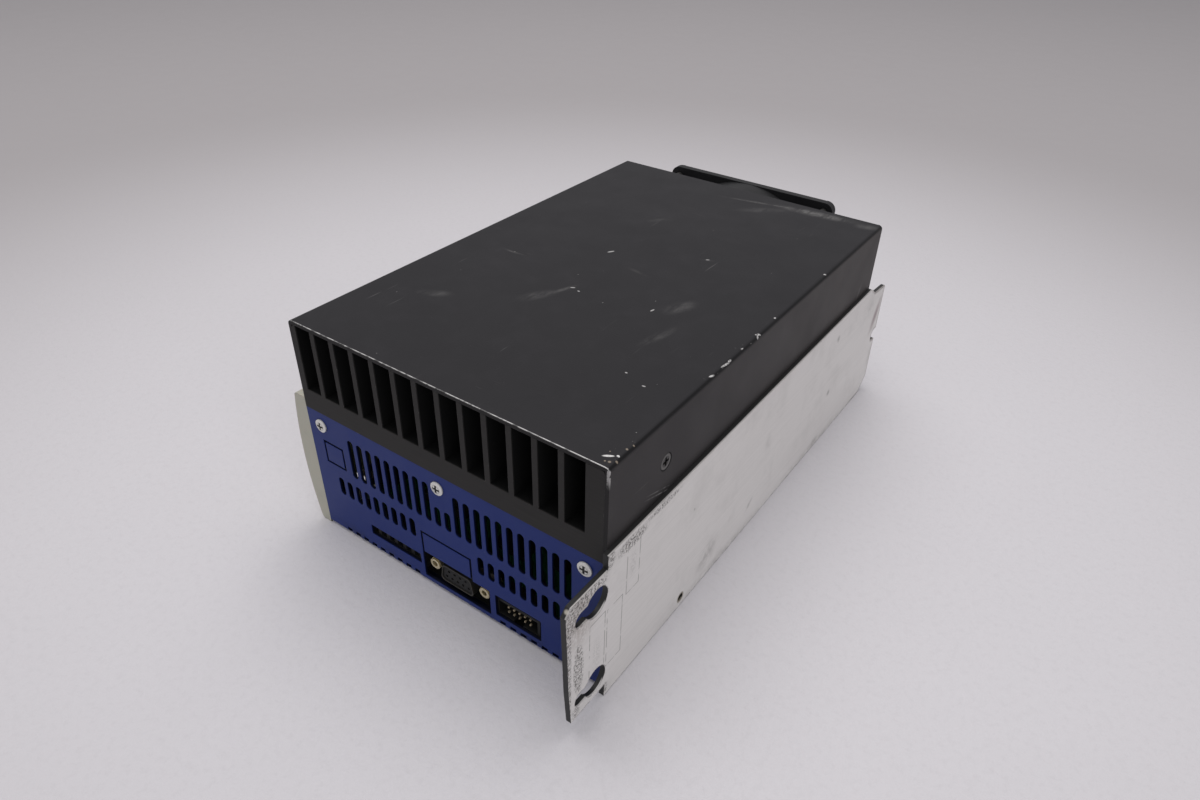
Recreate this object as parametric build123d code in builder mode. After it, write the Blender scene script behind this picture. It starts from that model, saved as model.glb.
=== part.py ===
from build123d import *
import os

# Servo drive for a control cabinet, lying on its side with the heat sink uppermost.
#
# +X points at the wall plate (the back), -X at the operator's front panel,
# -Y at the connector end (the top in service), +Y at the fan end, and +Z up.
# The origin is the bottom centre of the bounding box. All lengths are millimetres.

# ---- driving dimensions ------------------------------------------------------------

depth = 140.0  # housing, front edge to wall plate
length = 215.0  # housing, connector end to fan end
body_height = 59.6  # blue housing
total_height = 97.4  # over the heat sink cover
back_x = 73.25  # inner face of the wall plate
near_y = -110.0  # connector end
front_x = back_x - depth
far_y = near_y + length

housing_sheet = 1.2
cover_sheet = 1.5
plate_sheet = 2.0
fan_plate_sheet = 2.0
clearance = 0.3  # between curved or sliding neighbours

# Heat sink section
ledge_top = 63.9  # the cover's sides stand on this ledge
sink_base_top = 68.6
fin_top = total_height - cover_sheet - 0.1
gap_count = 13
gap_width = 7.8
gap_pitch = 10.05
first_gap_x = front_x + 3.3
sink_far_y = far_y - fan_plate_sheet

# Screw lugs under both ends of the heat sink
lug_columns = (front_x + 7.4, front_x + 68.3, front_x + 132.1)
lug_z = 53.6
lug_width = 9.0
lug_drop = 11.6
lug_run = 10.0

# Ventilation slots share one grid along X
slot_width = 3.0
slot_pitch = 4.88
first_slot_x = front_x + 22.75

# Connector row at the near end
board_thickness = 1.6
control_board_z = 2.6
control_top = control_board_z + board_thickness
power_board_z = 36.0
power_top = power_board_z + board_thickness
port_x = 6.05
port_z = control_top + 6.3
header_x = 34.9
terminal_x = -27.5
terminal_pitch = 4.6
terminal_ways = 6

# Front panel
panel_height = 63.7
panel_bulge = 8.5
panel_wall = 2.0
panel_face_x = front_x - panel_bulge

# Fan, 92 mm frame
fan_x = -4.25
fan_z = 46.6
fan_size = 92.0
fan_depth = 25.0
fan_hole_offset = 41.25
fan_duct_radius = 43.7
fan_far_y = far_y + fan_depth

MIN3 = (Align.MIN, Align.MIN, Align.MIN)


# ---- helpers ------------------------------------------------------------------------

def save(piece, name):
    """Label one finished piece and write its STEP file."""
    piece.part.label = name
    export_step(piece.part, f"parts/{name}.step")


def block(low, high, mode=Mode.ADD):
    """A box between two corners, in the part that is being built."""
    with Locations(low):
        Box(*[b - a for a, b in zip(low, high)], align=MIN3, mode=mode)


def near_plane(y):
    """Sketch plane across the object at Y, facing the connector end (-Y)."""
    return Plane((0, y, 0), x_dir=(1, 0, 0), z_dir=(0, -1, 0))


def near_at(x, y, z):
    return Plane((x, y, z), x_dir=(1, 0, 0), z_dir=(0, -1, 0))


def far_at(x, y, z):
    return Plane((x, y, z), x_dir=(-1, 0, 0), z_dir=(0, 1, 0))


def front_at(x, y, z):
    """Plane facing the operator (-X); its x direction runs towards the connector end."""
    return Plane((x, y, z), x_dir=(0, -1, 0), z_dir=(-1, 0, 0))


def back_at(x, y, z):
    return Plane((x, y, z), x_dir=(0, 1, 0), z_dir=(1, 0, 0))


def down_at(x, y, z):
    return Plane((x, y, z), x_dir=(1, 0, 0), z_dir=(0, 0, -1))


def up_at(x, y, z):
    return Plane((x, y, z), x_dir=(1, 0, 0), z_dir=(0, 0, 1))


def axial_plane(at):
    """The plane through the axis of `at`, with its y direction along that axis."""
    return Plane(at.origin, x_dir=at.x_dir, z_dir=-at.y_dir)


def add_round(at, radius, height, mode=Mode.ADD):
    """A round bar that stands on the plane `at`."""
    with BuildSketch(at) as disc:
        Circle(radius)
    extrude(disc.sketch, amount=height, mode=mode)


def add_slab(at, width, height, thickness, corner=0.0, mode=Mode.ADD):
    """A rectangular slab, centred on the plane `at`, with rounded corners if wanted."""
    with BuildSketch(at) as outline:
        if corner:
            RectangleRounded(width, height, corner)
        else:
            Rectangle(width, height)
    extrude(outline.sketch, amount=thickness, mode=mode)


def add_screw(at, head_radius, head_height, shank_radius, shank_length, sunk=False):
    """A cross-recessed screw on the face plane `at`; the plane's normal leaves the head."""
    with BuildSketch(axial_plane(at)) as profile:
        with BuildLine():
            if sunk:
                lip = 0.25
                Polyline((0, 0), (head_radius, 0), (head_radius, -lip),
                         (shank_radius, -head_height), (shank_radius, -shank_length),
                         (0, -shank_length), (0, 0))
            else:
                shoulder = head_height * 0.55
                cap_mid = head_height - 0.36 * (head_height - shoulder)
                Polyline((0, head_height), (0, -shank_length), (shank_radius, -shank_length),
                         (shank_radius, 0), (head_radius, 0), (head_radius, shoulder))
                ThreePointArc((head_radius, shoulder), (head_radius * 0.6, cap_mid),
                              (0, head_height))
        make_face()
    revolve(profile.sketch, axis=Axis(at.origin, at.z_dir))
    top = 0 if sunk else head_height
    recess_depth = head_height * 0.55
    with BuildSketch(at.offset(top - recess_depth)) as cross:
        Rectangle(head_radius * 1.15, head_radius * 0.33)
        Rectangle(head_radius * 0.33, head_radius * 1.15)
    extrude(cross.sketch, amount=recess_depth + 1, mode=Mode.SUBTRACT)


def add_hex(at, across_flats, height, hole_radius=0.0):
    """A hexagonal bar or nut on the plane `at`, drilled through if a hole is given."""
    with BuildSketch(at) as hexagon:
        RegularPolygon(across_flats / 2, 6, major_radius=False)
        if hole_radius:
            Circle(hole_radius, mode=Mode.SUBTRACT)
    extrude(hexagon.sketch, amount=height)


os.makedirs("parts", exist_ok=True)

# ---- heat sink and its cover ---------------------------------------------------------

gap_positions = [first_gap_x + i * gap_pitch for i in range(gap_count)]
middle_x = (front_x + back_x) / 2
cover_screw_spots = [(front_x, -78.0), (front_x, 77.0), (back_x, -78.0)]
cover_screw_z = 79.5
housing_screw_radius = 1.45
lug_hole_radius = 1.6
bracket_x = back_x - 8.0
bracket_screw_y = (-85.0, -3.0, 80.0)
fan_plate_spots = [(front_x + 6.2, 64.8), (back_x - 12.0, 64.8), (back_x - 4.8, 88.0)]

with BuildPart() as heat_sink:
    with BuildSketch(near_plane(near_y)):
        with Locations((middle_x, body_height)):
            Rectangle(depth, ledge_top - body_height, align=(Align.CENTER, Align.MIN))
            Rectangle(depth - 2 * cover_sheet, fin_top - body_height,
                      align=(Align.CENTER, Align.MIN))
        fillet(vertices().group_by(Axis.Y)[-1], 1.5)
        with Locations(*[(x, sink_base_top) for x in gap_positions]):
            Rectangle(gap_width, fin_top, align=(Align.MIN, Align.MIN), mode=Mode.SUBTRACT)
    extrude(amount=-(sink_far_y - near_y))
    for lug_x in lug_columns:
        for lug_y in (near_y + housing_sheet, far_y - housing_sheet - lug_run):
            block((lug_x - lug_width / 2, lug_y, body_height - lug_drop),
                  (lug_x + lug_width / 2, lug_y + lug_run, body_height))
        for y, way in ((near_y, -1), (far_y, 1)):
            add_round(near_at(lug_x, y, lug_z), lug_hole_radius, way * lug_run,
                      mode=Mode.SUBTRACT)
    # Threads for the cover's side screws
    for side_x, y in cover_screw_spots:
        facing = back_at if side_x > 0 else front_at
        add_round(facing(side_x, y, cover_screw_z), 1.3, -5.0, mode=Mode.SUBTRACT)
    # Threads for the plate bracket's screws
    for y in bracket_screw_y:
        add_round(up_at(bracket_x, y, body_height), 2.0, 6.5, mode=Mode.SUBTRACT)
    # Threads for the fan plate's screws
    for x, z in fan_plate_spots:
        add_round(far_at(x, sink_far_y, z), 1.55, -7.0, mode=Mode.SUBTRACT)
save(heat_sink, "heat_sink")

with BuildPart() as heat_sink_cover:
    with BuildSketch(near_plane(near_y)):
        with BuildLine():
            FilletPolyline((front_x, ledge_top), (front_x, total_height),
                           (back_x, total_height), (back_x, ledge_top), radius=1.8)
            offset(amount=cover_sheet, side=Side.RIGHT)
        make_face()
    extrude(amount=-length)
    for side_x, y in cover_screw_spots:
        facing = back_at if side_x > 0 else front_at
        face = facing(side_x, y, cover_screw_z)
        with BuildSketch(axial_plane(face)) as sink_hole:
            with BuildLine():
                Polyline((0, 0.5), (3.2, 0.5), (3.2, -0.3), (1.75, -cover_sheet - 0.4),
                         (0, -cover_sheet - 0.4), (0, 0.5))
            make_face()
        revolve(sink_hole.sketch, axis=Axis(face.origin, face.z_dir), mode=Mode.SUBTRACT)
save(heat_sink_cover, "heat_sink_cover")

with BuildPart() as cover_screws:
    for side_x, y in cover_screw_spots:
        facing = back_at if side_x > 0 else front_at
        inset = 0.1 if side_x > 0 else -0.1
        add_screw(facing(side_x - inset, y, cover_screw_z), 3.0, 1.4, 1.2,
                  4.6 if side_x > 0 else 3.1, sunk=True)
save(cover_screws, "cover_screws")

# ---- blue housing ---------------------------------------------------------------------

slot_grid = [first_slot_x + i * slot_pitch for i in range(22)]
lower_grid = [first_slot_x + i * slot_pitch for i in range(-2, 21)]
far_screw_columns = (lug_columns[0], lug_columns[2])
foot_holes = [(fan_x - fan_hole_offset, fan_z - fan_hole_offset),
              (fan_x + fan_hole_offset, fan_z - fan_hole_offset)]
tab_spots = [(y, z) for y in (near_y + 8.0, far_y - 8.0) for z in (9.0, 52.0)]


def near_slots(columns, low_z, high_z):
    """Upright round-ended slots at the given X positions, in the sketch being drawn."""
    with Locations(*[(x, (low_z + high_z) / 2) for x in columns]):
        SlotOverall(high_z - low_z, slot_width, rotation=90)


with BuildPart() as housing_cover:
    with BuildSketch(Plane.YZ.offset(front_x)):
        with BuildLine():
            FilletPolyline((near_y, body_height), (near_y, 0), (far_y, 0),
                           (far_y, body_height), radius=2.0)
            offset(amount=housing_sheet, side=Side.LEFT)
        make_face()
    extrude(amount=depth)
    # Connector end: slots, connector windows, screw holes
    with BuildSketch(near_plane(near_y - 1)) as near_openings:
        near_slots(slot_grid[:9], 34.8, 53.1)
        near_slots(slot_grid[9:11], 34.8, 43.7)
        near_slots(slot_grid[11:], 34.8, 53.1)
        near_slots(lower_grid[:9], 21.7, 30.4)
        near_slots(lower_grid[15:], 21.7, 30.4)
        with Locations((terminal_x + 1.5, 11.0)):
            RectangleRounded(27.6, 4.9, 0.4)
        with Locations((port_x, 9.4)):
            RectangleRounded(33.6, 12.3, 0.5)
        with Locations((header_x + 1.1, 10.3)):
            RectangleRounded(21.2, 10.5, 0.5)
        with Locations(*[(x, lug_z) for x in lug_columns]):
            Circle(1.75)
    extrude(near_openings.sketch, amount=-(housing_sheet + 2), mode=Mode.SUBTRACT)
    # Knock-out outlines, stamped half through the sheet
    with BuildSketch(near_plane(near_y)) as knock_outs:
        with Locations((front_x + 12.1, 41.2)):
            Rectangle(11.2, 10.8)
            Rectangle(9.2, 8.8, mode=Mode.SUBTRACT)
        with Locations((port_x - 4.0, 21.2)):
            Rectangle(25.4, 11.4)
            Rectangle(23.4, 9.4, mode=Mode.SUBTRACT)
    extrude(knock_outs.sketch, amount=-housing_sheet / 2, mode=Mode.SUBTRACT)
    # Notches in the lower bend, open to the front and shut underneath by a thin web
    for x in lower_grid[:9] + lower_grid[17:]:
        notch_x = x - 0.7
        block((notch_x - 1.4, near_y - 1, 0.45), (notch_x + 1.4, near_y + 1.6, 3.2),
              mode=Mode.SUBTRACT)
    # Bottom: two fields of slots
    with BuildSketch(Plane.XY.offset(-1)) as bottom_slots:
        with Locations((middle_x, near_y + 40), (middle_x, far_y - 45)):
            with GridLocations(slot_pitch * 2, 1, 12, 1):
                SlotOverall(36, slot_width * 1.2, rotation=90)
    extrude(bottom_slots.sketch, amount=housing_sheet + 2, mode=Mode.SUBTRACT)
    # Fan end: duct window, fan screws, side slots
    with BuildSketch(near_plane(far_y + 1)) as far_openings:
        with Locations((fan_x, fan_z)):
            Circle(fan_duct_radius - 1)
        with Locations(*foot_holes):
            Circle(2.2)
        with Locations(*[(x, lug_z) for x in far_screw_columns]):
            Circle(1.75)
        with Locations((back_x - 12, 26)):
            with GridLocations(slot_pitch, 1, 3, 1):
                SlotOverall(24, slot_width, rotation=90)
    extrude(far_openings.sketch, amount=housing_sheet + 1.5, mode=Mode.SUBTRACT)
    # Tabs for the front panel's screws
    for y, z in tab_spots:
        inward = near_y + housing_sheet if y < 0 else y - 5
        outward = y + 5 if y < 0 else far_y - housing_sheet
        block((front_x, inward, z - 5), (front_x + housing_sheet, outward, z + 5))
        add_round(front_at(front_x - 1, y, z), 1.4, -4, mode=Mode.SUBTRACT)
save(housing_cover, "housing_cover")

with BuildPart() as housing_screws:
    for x in lug_columns:
        add_screw(near_at(x, near_y, lug_z), 2.8, 1.1, housing_screw_radius, 9.0)
    for x in far_screw_columns:
        add_screw(far_at(x, far_y, lug_z), 2.8, 1.1, housing_screw_radius, 9.0)
save(housing_screws, "housing_screws")

# ---- wall plate and how it is held ------------------------------------------------------

plate_low, plate_high = 0.0, 66.4
flange_low, flange_high = 6.0, 60.5
near_flange_y = near_y - 23.0
far_flange_y = far_y + 21.0
plate_near_y = near_y - 2.0
keyhole_z = (32.5 - 18.75, 32.5 + 18.75)
entry_radius = 5.7
entry_y = near_y - 7.4
hook_radius = 3.0
hook_y = near_y - 15.4
stud_spots = [(y, 51.0) for y in (-75.0, -25.0, 25.0, 72.0)]
bracket_sheet = 1.5

with BuildPart() as mounting_plate:
    with BuildSketch(Plane.YZ.offset(back_x)):
        with BuildLine():
            Polyline((plate_near_y, plate_low), (far_flange_y - 6.5, plate_low),
                     (far_flange_y + 0.8, flange_low + 1), (far_flange_y - 1.5, flange_high),
                     (far_y + 5.7, flange_high + 1.4), (far_y - 1.0, plate_high),
                     (plate_near_y, plate_high), (plate_near_y, flange_high),
                     (near_flange_y + 2.5, flange_high), (near_flange_y, flange_high - 2.5),
                     (near_flange_y + 1.3, 22.0), (near_flange_y + 2.6, flange_low),
                     (plate_near_y, flange_low), close=True)
        make_face()
        for z in keyhole_z:
            with Locations((entry_y, z)):
                Circle(entry_radius, mode=Mode.SUBTRACT)
            with Locations(((entry_y + hook_y) / 2, z)):
                SlotCenterToCenter(entry_y - hook_y, 2 * hook_radius, mode=Mode.SUBTRACT)
        # Open notch for the lower fixing screw
        with Locations((far_flange_y, (flange_low + flange_high) / 2)):
            SlotOverall(12.0, 6.4, mode=Mode.SUBTRACT)
        with Locations((near_y + 48.0, 4.4)):
            Circle(1.6, mode=Mode.SUBTRACT)
    extrude(amount=plate_sheet)
    for y, z in stud_spots:
        add_round(back_at(back_x, y, z), 2.7, 1.2, mode=Mode.SUBTRACT)
save(mounting_plate, "mounting_plate")

with BuildPart() as plate_studs:
    for y, z in stud_spots:
        add_round(back_at(back_x, y, z), 2.6, 1.1)
        add_round(front_at(back_x, y, z), 1.95, 7.0)
save(plate_studs, "plate_studs")

with BuildPart() as plate_bracket:
    block((back_x - 14.0, -92.0, body_height - bracket_sheet), (back_x, 88.0, body_height))
    block((back_x - bracket_sheet, -92.0, 45.0), (back_x, 88.0, body_height))
    for y, z in stud_spots:
        add_round(back_at(back_x - 3, y, z), 2.1, 4, mode=Mode.SUBTRACT)
    for y in bracket_screw_y:
        add_round(up_at(bracket_x, y, body_height - 3), 2.1, 4, mode=Mode.SUBTRACT)
save(plate_bracket, "plate_bracket")

with BuildPart() as plate_nuts:
    for y, z in stud_spots:
        add_hex(front_at(back_x - bracket_sheet, y, z), 7.0, 3.2, 2.0)
save(plate_nuts, "plate_nuts")

with BuildPart() as bracket_screws:
    for y in bracket_screw_y:
        add_screw(down_at(bracket_x, y, body_height - bracket_sheet), 3.6, 2.4, 1.9, 7.0)
save(bracket_screws, "bracket_screws")

# ---- front panel, display and keys ---------------------------------------------------------

window_y = (near_y + 13.0, near_y + 35.0)
window_z = (18.0, 48.0)
window_back_x = panel_face_x + 1.35
light_spots = [(near_y + 41.0, z) for z in (24.0, 33.0, 42.0)]
key_spots = {"button_up": (near_y + 52.0, 23.0), "button_down": (near_y + 52.0, 33.0),
             "button_enter": (near_y + 52.0, 43.0)}
key_radius = 3.5
key_top_x = panel_face_x + 0.25
key_collar_x = panel_face_x + 3.9
key_stem = 0.75
panel_board_x = front_x + 1.95
panel_board_face_x = panel_board_x - board_thickness
front_port_z = port_z
front_port_flange_x = front_x - 0.45
front_ports = (near_y + 36.0, near_y + 72.0)
signal_header_y = near_y + 120.0
power_header_z = power_top + 4.4
# Mains, motor and brake resistor, with the number of ways of each
power_header_spots = [(near_y + 89.0, 9), (near_y + 145.0, 9), (near_y + 188.0, 3)]
power_pitch = 5.08
power_header_height = 8.6
power_mouth_x = panel_face_x + 2.75


def bulged_face(y, inset, behind):
    """Section of the bulged front at Y, moved in by `inset` and run back to `behind`."""
    low = (front_x - 5.0 + inset * 0.9, inset)
    high = (front_x - 6.0 + inset * 0.9, panel_height - inset)
    with BuildSketch(near_plane(y)) as section:
        with BuildLine():
            ThreePointArc(low, (panel_face_x + inset, 32.5), high)
            Polyline(high, (behind, panel_height - inset), (behind, inset), low)
        make_face()
    return section.sketch


with BuildPart() as front_panel:
    extrude(bulged_face(near_y, 0, front_x), amount=-length)
    fillet(edges().filter_by(Axis.Y).group_by(Axis.X)[0], 1.6)
    fillet(edges().filter_by(Axis.Y).group_by(Axis.X)[1], 1.6)
    extrude(bulged_face(near_y + panel_wall, panel_wall, front_x + 1),
            amount=-(length - 2 * panel_wall), mode=Mode.SUBTRACT)
    # Screw bosses with sunk seats
    for y, z in tab_spots:
        add_round(front_at(front_x, y, z), 4.2, 5.5)
        add_round(front_at(front_x - 2.2, y, z), 3.3, 10, mode=Mode.SUBTRACT)
        add_round(front_at(front_x + 1, y, z), 1.7, 6, mode=Mode.SUBTRACT)
    # Display window seat and opening
    block((panel_face_x - 1, window_y[0] - 0.1, window_z[0] - 0.1),
          (window_back_x, window_y[1] + 0.1, window_z[1] + 0.1), mode=Mode.SUBTRACT)
    block((panel_face_x - 1, window_y[0] + 1.2, window_z[0] + 1.2),
          (front_x, window_y[1] - 1.2, window_z[1] - 1.2), mode=Mode.SUBTRACT)
    # Keys stand in shallow dishes
    for y, z in key_spots.values():
        add_round(front_at(panel_face_x + 1.1, y, z), 5.2, 4, mode=Mode.SUBTRACT)
        add_round(front_at(front_x, y, z), key_radius + 0.2, 12, mode=Mode.SUBTRACT)
    for y, z in light_spots:
        add_round(front_at(front_x, y, z), 1.6, 12, mode=Mode.SUBTRACT)
    # Connector openings
    for y in front_ports:
        block((panel_face_x - 1, y - 16.1, front_port_z - 6.8),
              (front_x + 1, y + 16.1, front_port_z + 6.8), mode=Mode.SUBTRACT)
    block((panel_face_x - 1, signal_header_y - 23.2, control_top - 0.4),
          (front_x + 1, signal_header_y + 23.2, control_top + 10.6), mode=Mode.SUBTRACT)
    for y, ways in power_header_spots:
        half = ways * power_pitch / 2 + 1.3
        block((panel_face_x - 1, y - half, power_header_z - 4.8),
              (front_x + 1, y + half, power_header_z + 4.8), mode=Mode.SUBTRACT)
    # Shallow grooves that divide the face into fields
    for y in (near_y + 62.0, near_y + 203.0):
        block((panel_face_x - 1, y, -1), (panel_face_x + 0.45, y + 0.8, panel_height + 1),
              mode=Mode.SUBTRACT)
save(front_panel, "front_panel")

with BuildPart() as panel_screws:
    for y, z in tab_spots:
        add_screw(front_at(front_x - 2.2, y, z), 3.0, 1.8, 1.3, 4.0)
save(panel_screws, "panel_screws")

with BuildPart() as display_window:
    extrude(bulged_face(window_y[0], 0, front_x), amount=-(window_y[1] - window_y[0]))
    block((window_back_x, window_y[0] - 1, -1), (front_x + 1, window_y[1] + 1, panel_height + 1),
          mode=Mode.SUBTRACT)
    block((panel_face_x - 5, window_y[0] - 1, -1), (front_x, window_y[1] + 1, window_z[0]),
          mode=Mode.SUBTRACT)
    block((panel_face_x - 5, window_y[0] - 1, window_z[1]),
          (front_x, window_y[1] + 1, panel_height + 1), mode=Mode.SUBTRACT)
save(display_window, "display_window")

digit_centres = [((window_y[0] + window_y[1]) / 2, z) for z in (26.5, 39.5)]

with BuildPart() as display_module:
    module_face_x = window_back_x + 0.6
    block((module_face_x, window_y[0] + 1.8, window_z[0] + 1.8),
          (panel_board_face_x, window_y[1] - 1.8, window_z[1] - 1.8))
    # Seven segments a digit, engraved in the face
    for y, z in digit_centres:
        at = Plane((module_face_x, y, z), x_dir=(0, 0, 1), z_dir=(-1, 0, 0))
        with BuildSketch(at) as segments:
            with Locations((0, -5.6), (0, 0), (0, 5.6)):
                SlotOverall(5.2, 1.1)
            with Locations((-3.2, -2.8), (3.2, -2.8), (-3.2, 2.8), (3.2, 2.8)):
                SlotOverall(4.6, 1.1, rotation=90)
        extrude(segments.sketch, amount=-0.3, mode=Mode.SUBTRACT)
save(display_module, "display_module")

with BuildPart() as status_lights:
    for y, z in light_spots:
        add_round(front_at(panel_board_face_x - 1.2, y, z), 1.4,
                  panel_board_face_x - 1.2 - panel_face_x - 0.35)
    fillet(faces().group_by(Axis.X)[0].edges(), 0.6)
save(status_lights, "status_lights")

with BuildPart() as panel_board:
    block((panel_board_face_x, near_y + 9.0, 17.2), (panel_board_x, near_y + 60.0, 46.6))
    for y, z in light_spots:
        block((panel_board_face_x - 0.9, y - 1, z - 1), (panel_board_face_x, y + 1, z + 1))
save(panel_board, "panel_board")

switch_height = 2.6
with BuildPart() as key_switches:
    for y, z in key_spots.values():
        add_slab(front_at(panel_board_face_x, y, z), 6.0, 6.0, switch_height, 0.4)
        add_round(front_at(panel_board_face_x - switch_height, y, z), 1.6, 0.5)
save(key_switches, "key_switches")

for key_name, (y, z) in key_spots.items():
    with BuildPart() as key:
        add_round(front_at(key_collar_x, y, z), key_radius, key_collar_x - key_top_x)
        fillet(faces().sort_by(Axis.X)[0].edges(), 0.5)
        add_round(front_at(key_collar_x, y, z), key_radius + 0.9, 0.8)
        add_round(back_at(key_collar_x, y, z), 1.3, key_stem)
    save(key, key_name)

# ---- D sockets -----------------------------------------------------------------------------

shell_wide, shell_high, shell_reach = 16.9, 8.3, 6.1
jack_pitch = 25.0
jack_length = 4.8


def add_d_bar(at, wide, high, reach, mode=Mode.ADD):
    """A D-shaped bar on the plane `at`, with its wide side at the bottom."""
    with BuildSketch(at) as d_shape:
        Trapezoid(wide, high, 80)
        fillet(d_shape.vertices(), 1.8)
    extrude(d_shape.sketch, amount=reach, mode=mode)


def add_port_shell(at):
    """Flange and D-shaped skirt; `at` is the front of the flange."""
    add_slab(at, 30.8, 12.4, -1.0, 1.5)
    add_d_bar(at, shell_wide, shell_high, shell_reach)
    add_d_bar(at.offset(-2), shell_wide - 1.0, shell_high - 1.0, shell_reach + 3,
              mode=Mode.SUBTRACT)
    for side in (-1, 1):
        add_round(at.offset(-2).shift_origin(at.offset(-2).from_local_coords(
            Vector(side * jack_pitch / 2, 0, 0))), 1.6, 3, mode=Mode.SUBTRACT)


def add_port_insulator(at):
    """Contact block: the face inside the skirt and the body behind the flange."""
    add_d_bar(at.offset(-1.0), shell_wide - 1.0, shell_high - 1.0, shell_reach + 0.6)
    body = at.offset(-1.0)
    with BuildSketch(body) as foot:
        with Locations((0, -0.65)):
            Rectangle(19.0, 11.2)
    extrude(foot.sketch, amount=-8.5)
    with BuildSketch(at.offset(shell_reach + 1)) as contacts:
        with Locations(*[(2.77 * (i - 2), -1.42) for i in range(5)]):
            Circle(0.6)
        with Locations(*[(2.77 * (i - 1.5), 1.42) for i in range(4)]):
            Circle(0.6)
    extrude(contacts.sketch, amount=-6, mode=Mode.SUBTRACT)


def add_port_jackscrews(at):
    """Two hexagonal posts with threaded ends, one each side of the skirt."""
    for side in (-1, 1):
        centre = at.from_local_coords(Vector(side * jack_pitch / 2, 0, 0))
        post = Plane(centre, x_dir=at.x_dir, z_dir=at.z_dir)
        add_hex(post, 4.8, jack_length)
        add_round(post.offset(-4), 1.4, 4)
        with BuildSketch(post.offset(jack_length)) as rim:
            RegularPolygon(4.0, 6)
            Circle(2.35, mode=Mode.SUBTRACT)
        extrude(rim.sketch, amount=-0.5, taper=-45, mode=Mode.SUBTRACT)
        add_round(post.offset(jack_length), 1.25, -6.5, mode=Mode.SUBTRACT)


d_sockets = [near_at(port_x, near_y + 6.3, port_z)]
d_sockets += [front_at(front_port_flange_x, y, front_port_z) for y in front_ports]

with BuildPart() as port_shells:
    for at in d_sockets:
        add_port_shell(at)
save(port_shells, "port_shells")

with BuildPart() as port_insulators:
    for at in d_sockets:
        add_port_insulator(at)
save(port_insulators, "port_insulators")

with BuildPart() as port_jackscrews:
    for at in d_sockets:
        add_port_jackscrews(at)
save(port_jackscrews, "port_jackscrews")

# ---- headers ---------------------------------------------------------------------------------


def add_header_body(at, wide, high, reach, cavity, wall, ways, pitch, rows=1, row_pitch=0.0,
                    pin=1.0):
    """Open-mouthed header shroud; `at` is its mouth, and the pins pass through its back."""
    add_slab(at, wide, high, -reach)
    add_slab(at, wide - 2 * wall, high - 2 * wall, -cavity, mode=Mode.SUBTRACT)
    with BuildSketch(at.offset(-reach - 1)) as pin_holes:
        with GridLocations(pitch, row_pitch, ways, rows):
            Rectangle(pin, pin)
    extrude(pin_holes.sketch, amount=reach, mode=Mode.SUBTRACT)


def add_header_pins(at, tip, reach, ways, pitch, rows=1, row_pitch=0.0, pin=1.0):
    """Straight square pins from `tip` behind the mouth to past the shroud's back."""
    with BuildSketch(at.offset(-reach)) as pin_sections:
        with GridLocations(pitch, row_pitch, ways, rows):
            Rectangle(pin, pin)
    extrude(pin_sections.sketch, amount=reach - tip)


header_wide, header_high, header_reach = 20.3, 8.9, 9.0
header_mouth = near_at(header_x, near_y + 1.4, control_top + header_high / 2)
header_columns, header_pitch, header_pin = 5, 2.54, 0.64

with BuildPart() as box_header:
    add_header_body(header_mouth, header_wide, header_high, header_reach, 6.4, 1.2,
                    header_columns, header_pitch, 2, header_pitch, header_pin)
    # Polarising gap in the lower wall
    block((header_x - 2.2, near_y, control_top - 1),
          (header_x + 2.2, near_y + 7.8, control_top + 2), mode=Mode.SUBTRACT)
save(box_header, "box_header")

with BuildPart() as header_pins:
    add_header_pins(header_mouth, 0.6, header_reach + 1.2, header_columns, header_pitch, 2,
                    header_pitch, header_pin)
    # Tails turn down to the board
    for row, tail_y in ((0, 1.2), (1, 3.2)):
        for i in range(header_columns):
            x = header_x + (i - 2) * header_pitch - header_pin / 2
            z = header_mouth.origin.Z + (row - 0.5) * header_pitch
            y = header_mouth.origin.Y + header_reach
            block((x, y, z - header_pin / 2),
                  (x + header_pin, y + tail_y + header_pin, z + header_pin / 2))
            block((x, y + tail_y, control_top), (x + header_pin, y + tail_y + header_pin, z))
save(header_pins, "header_pins")

terminal_mouth_y = near_y + 1.4
terminal_hole = (2.9, 4.6)
terminal_hole_z = 10.9
terminal_spots = [terminal_x + (i - 2.5) * terminal_pitch for i in range(terminal_ways)]

with BuildPart() as terminal_block:
    block((terminal_x - 14.1, terminal_mouth_y, control_top),
          (terminal_x + 15.3, terminal_mouth_y + 10.5, 14.4))
    with BuildSketch(near_plane(terminal_mouth_y)) as entries:
        with Locations(*[(x, terminal_hole_z) for x in terminal_spots]):
            Rectangle(*terminal_hole)
    extrude(entries.sketch, amount=-7.5, mode=Mode.SUBTRACT)
    with BuildSketch(up_at(0, 0, 14.4)) as driver_holes:
        with Locations(*[(x, terminal_mouth_y + 5.0) for x in terminal_spots]):
            Circle(1.4)
    extrude(driver_holes.sketch, amount=-2.0, mode=Mode.SUBTRACT)
save(terminal_block, "terminal_block")

with BuildPart() as terminal_clamps:
    for x in terminal_spots:
        block((x - 1.3, terminal_mouth_y + 2.5, terminal_hole_z - 2.2),
              (x + 1.3, terminal_mouth_y + 7.4, terminal_hole_z - 1.4))
        block((x - 1.3, terminal_mouth_y + 6.6, terminal_hole_z - 2.2),
              (x + 1.3, terminal_mouth_y + 7.4, terminal_hole_z + 2.2))
save(terminal_clamps, "terminal_clamps")

signal_mouth = front_at(power_mouth_x + 0.4, signal_header_y, control_top + 5.1)
with BuildPart() as signal_header:
    add_header_body(signal_mouth, 45.0, 10.2, 12.5, 9.0, 1.0, 12, 3.5, 2, 4.2, 0.8)
save(signal_header, "signal_header")

with BuildPart() as signal_pins:
    add_header_pins(signal_mouth, 2.0, 13.5, 12, 3.5, 2, 4.2, 0.8)
save(signal_pins, "signal_pins")

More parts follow.
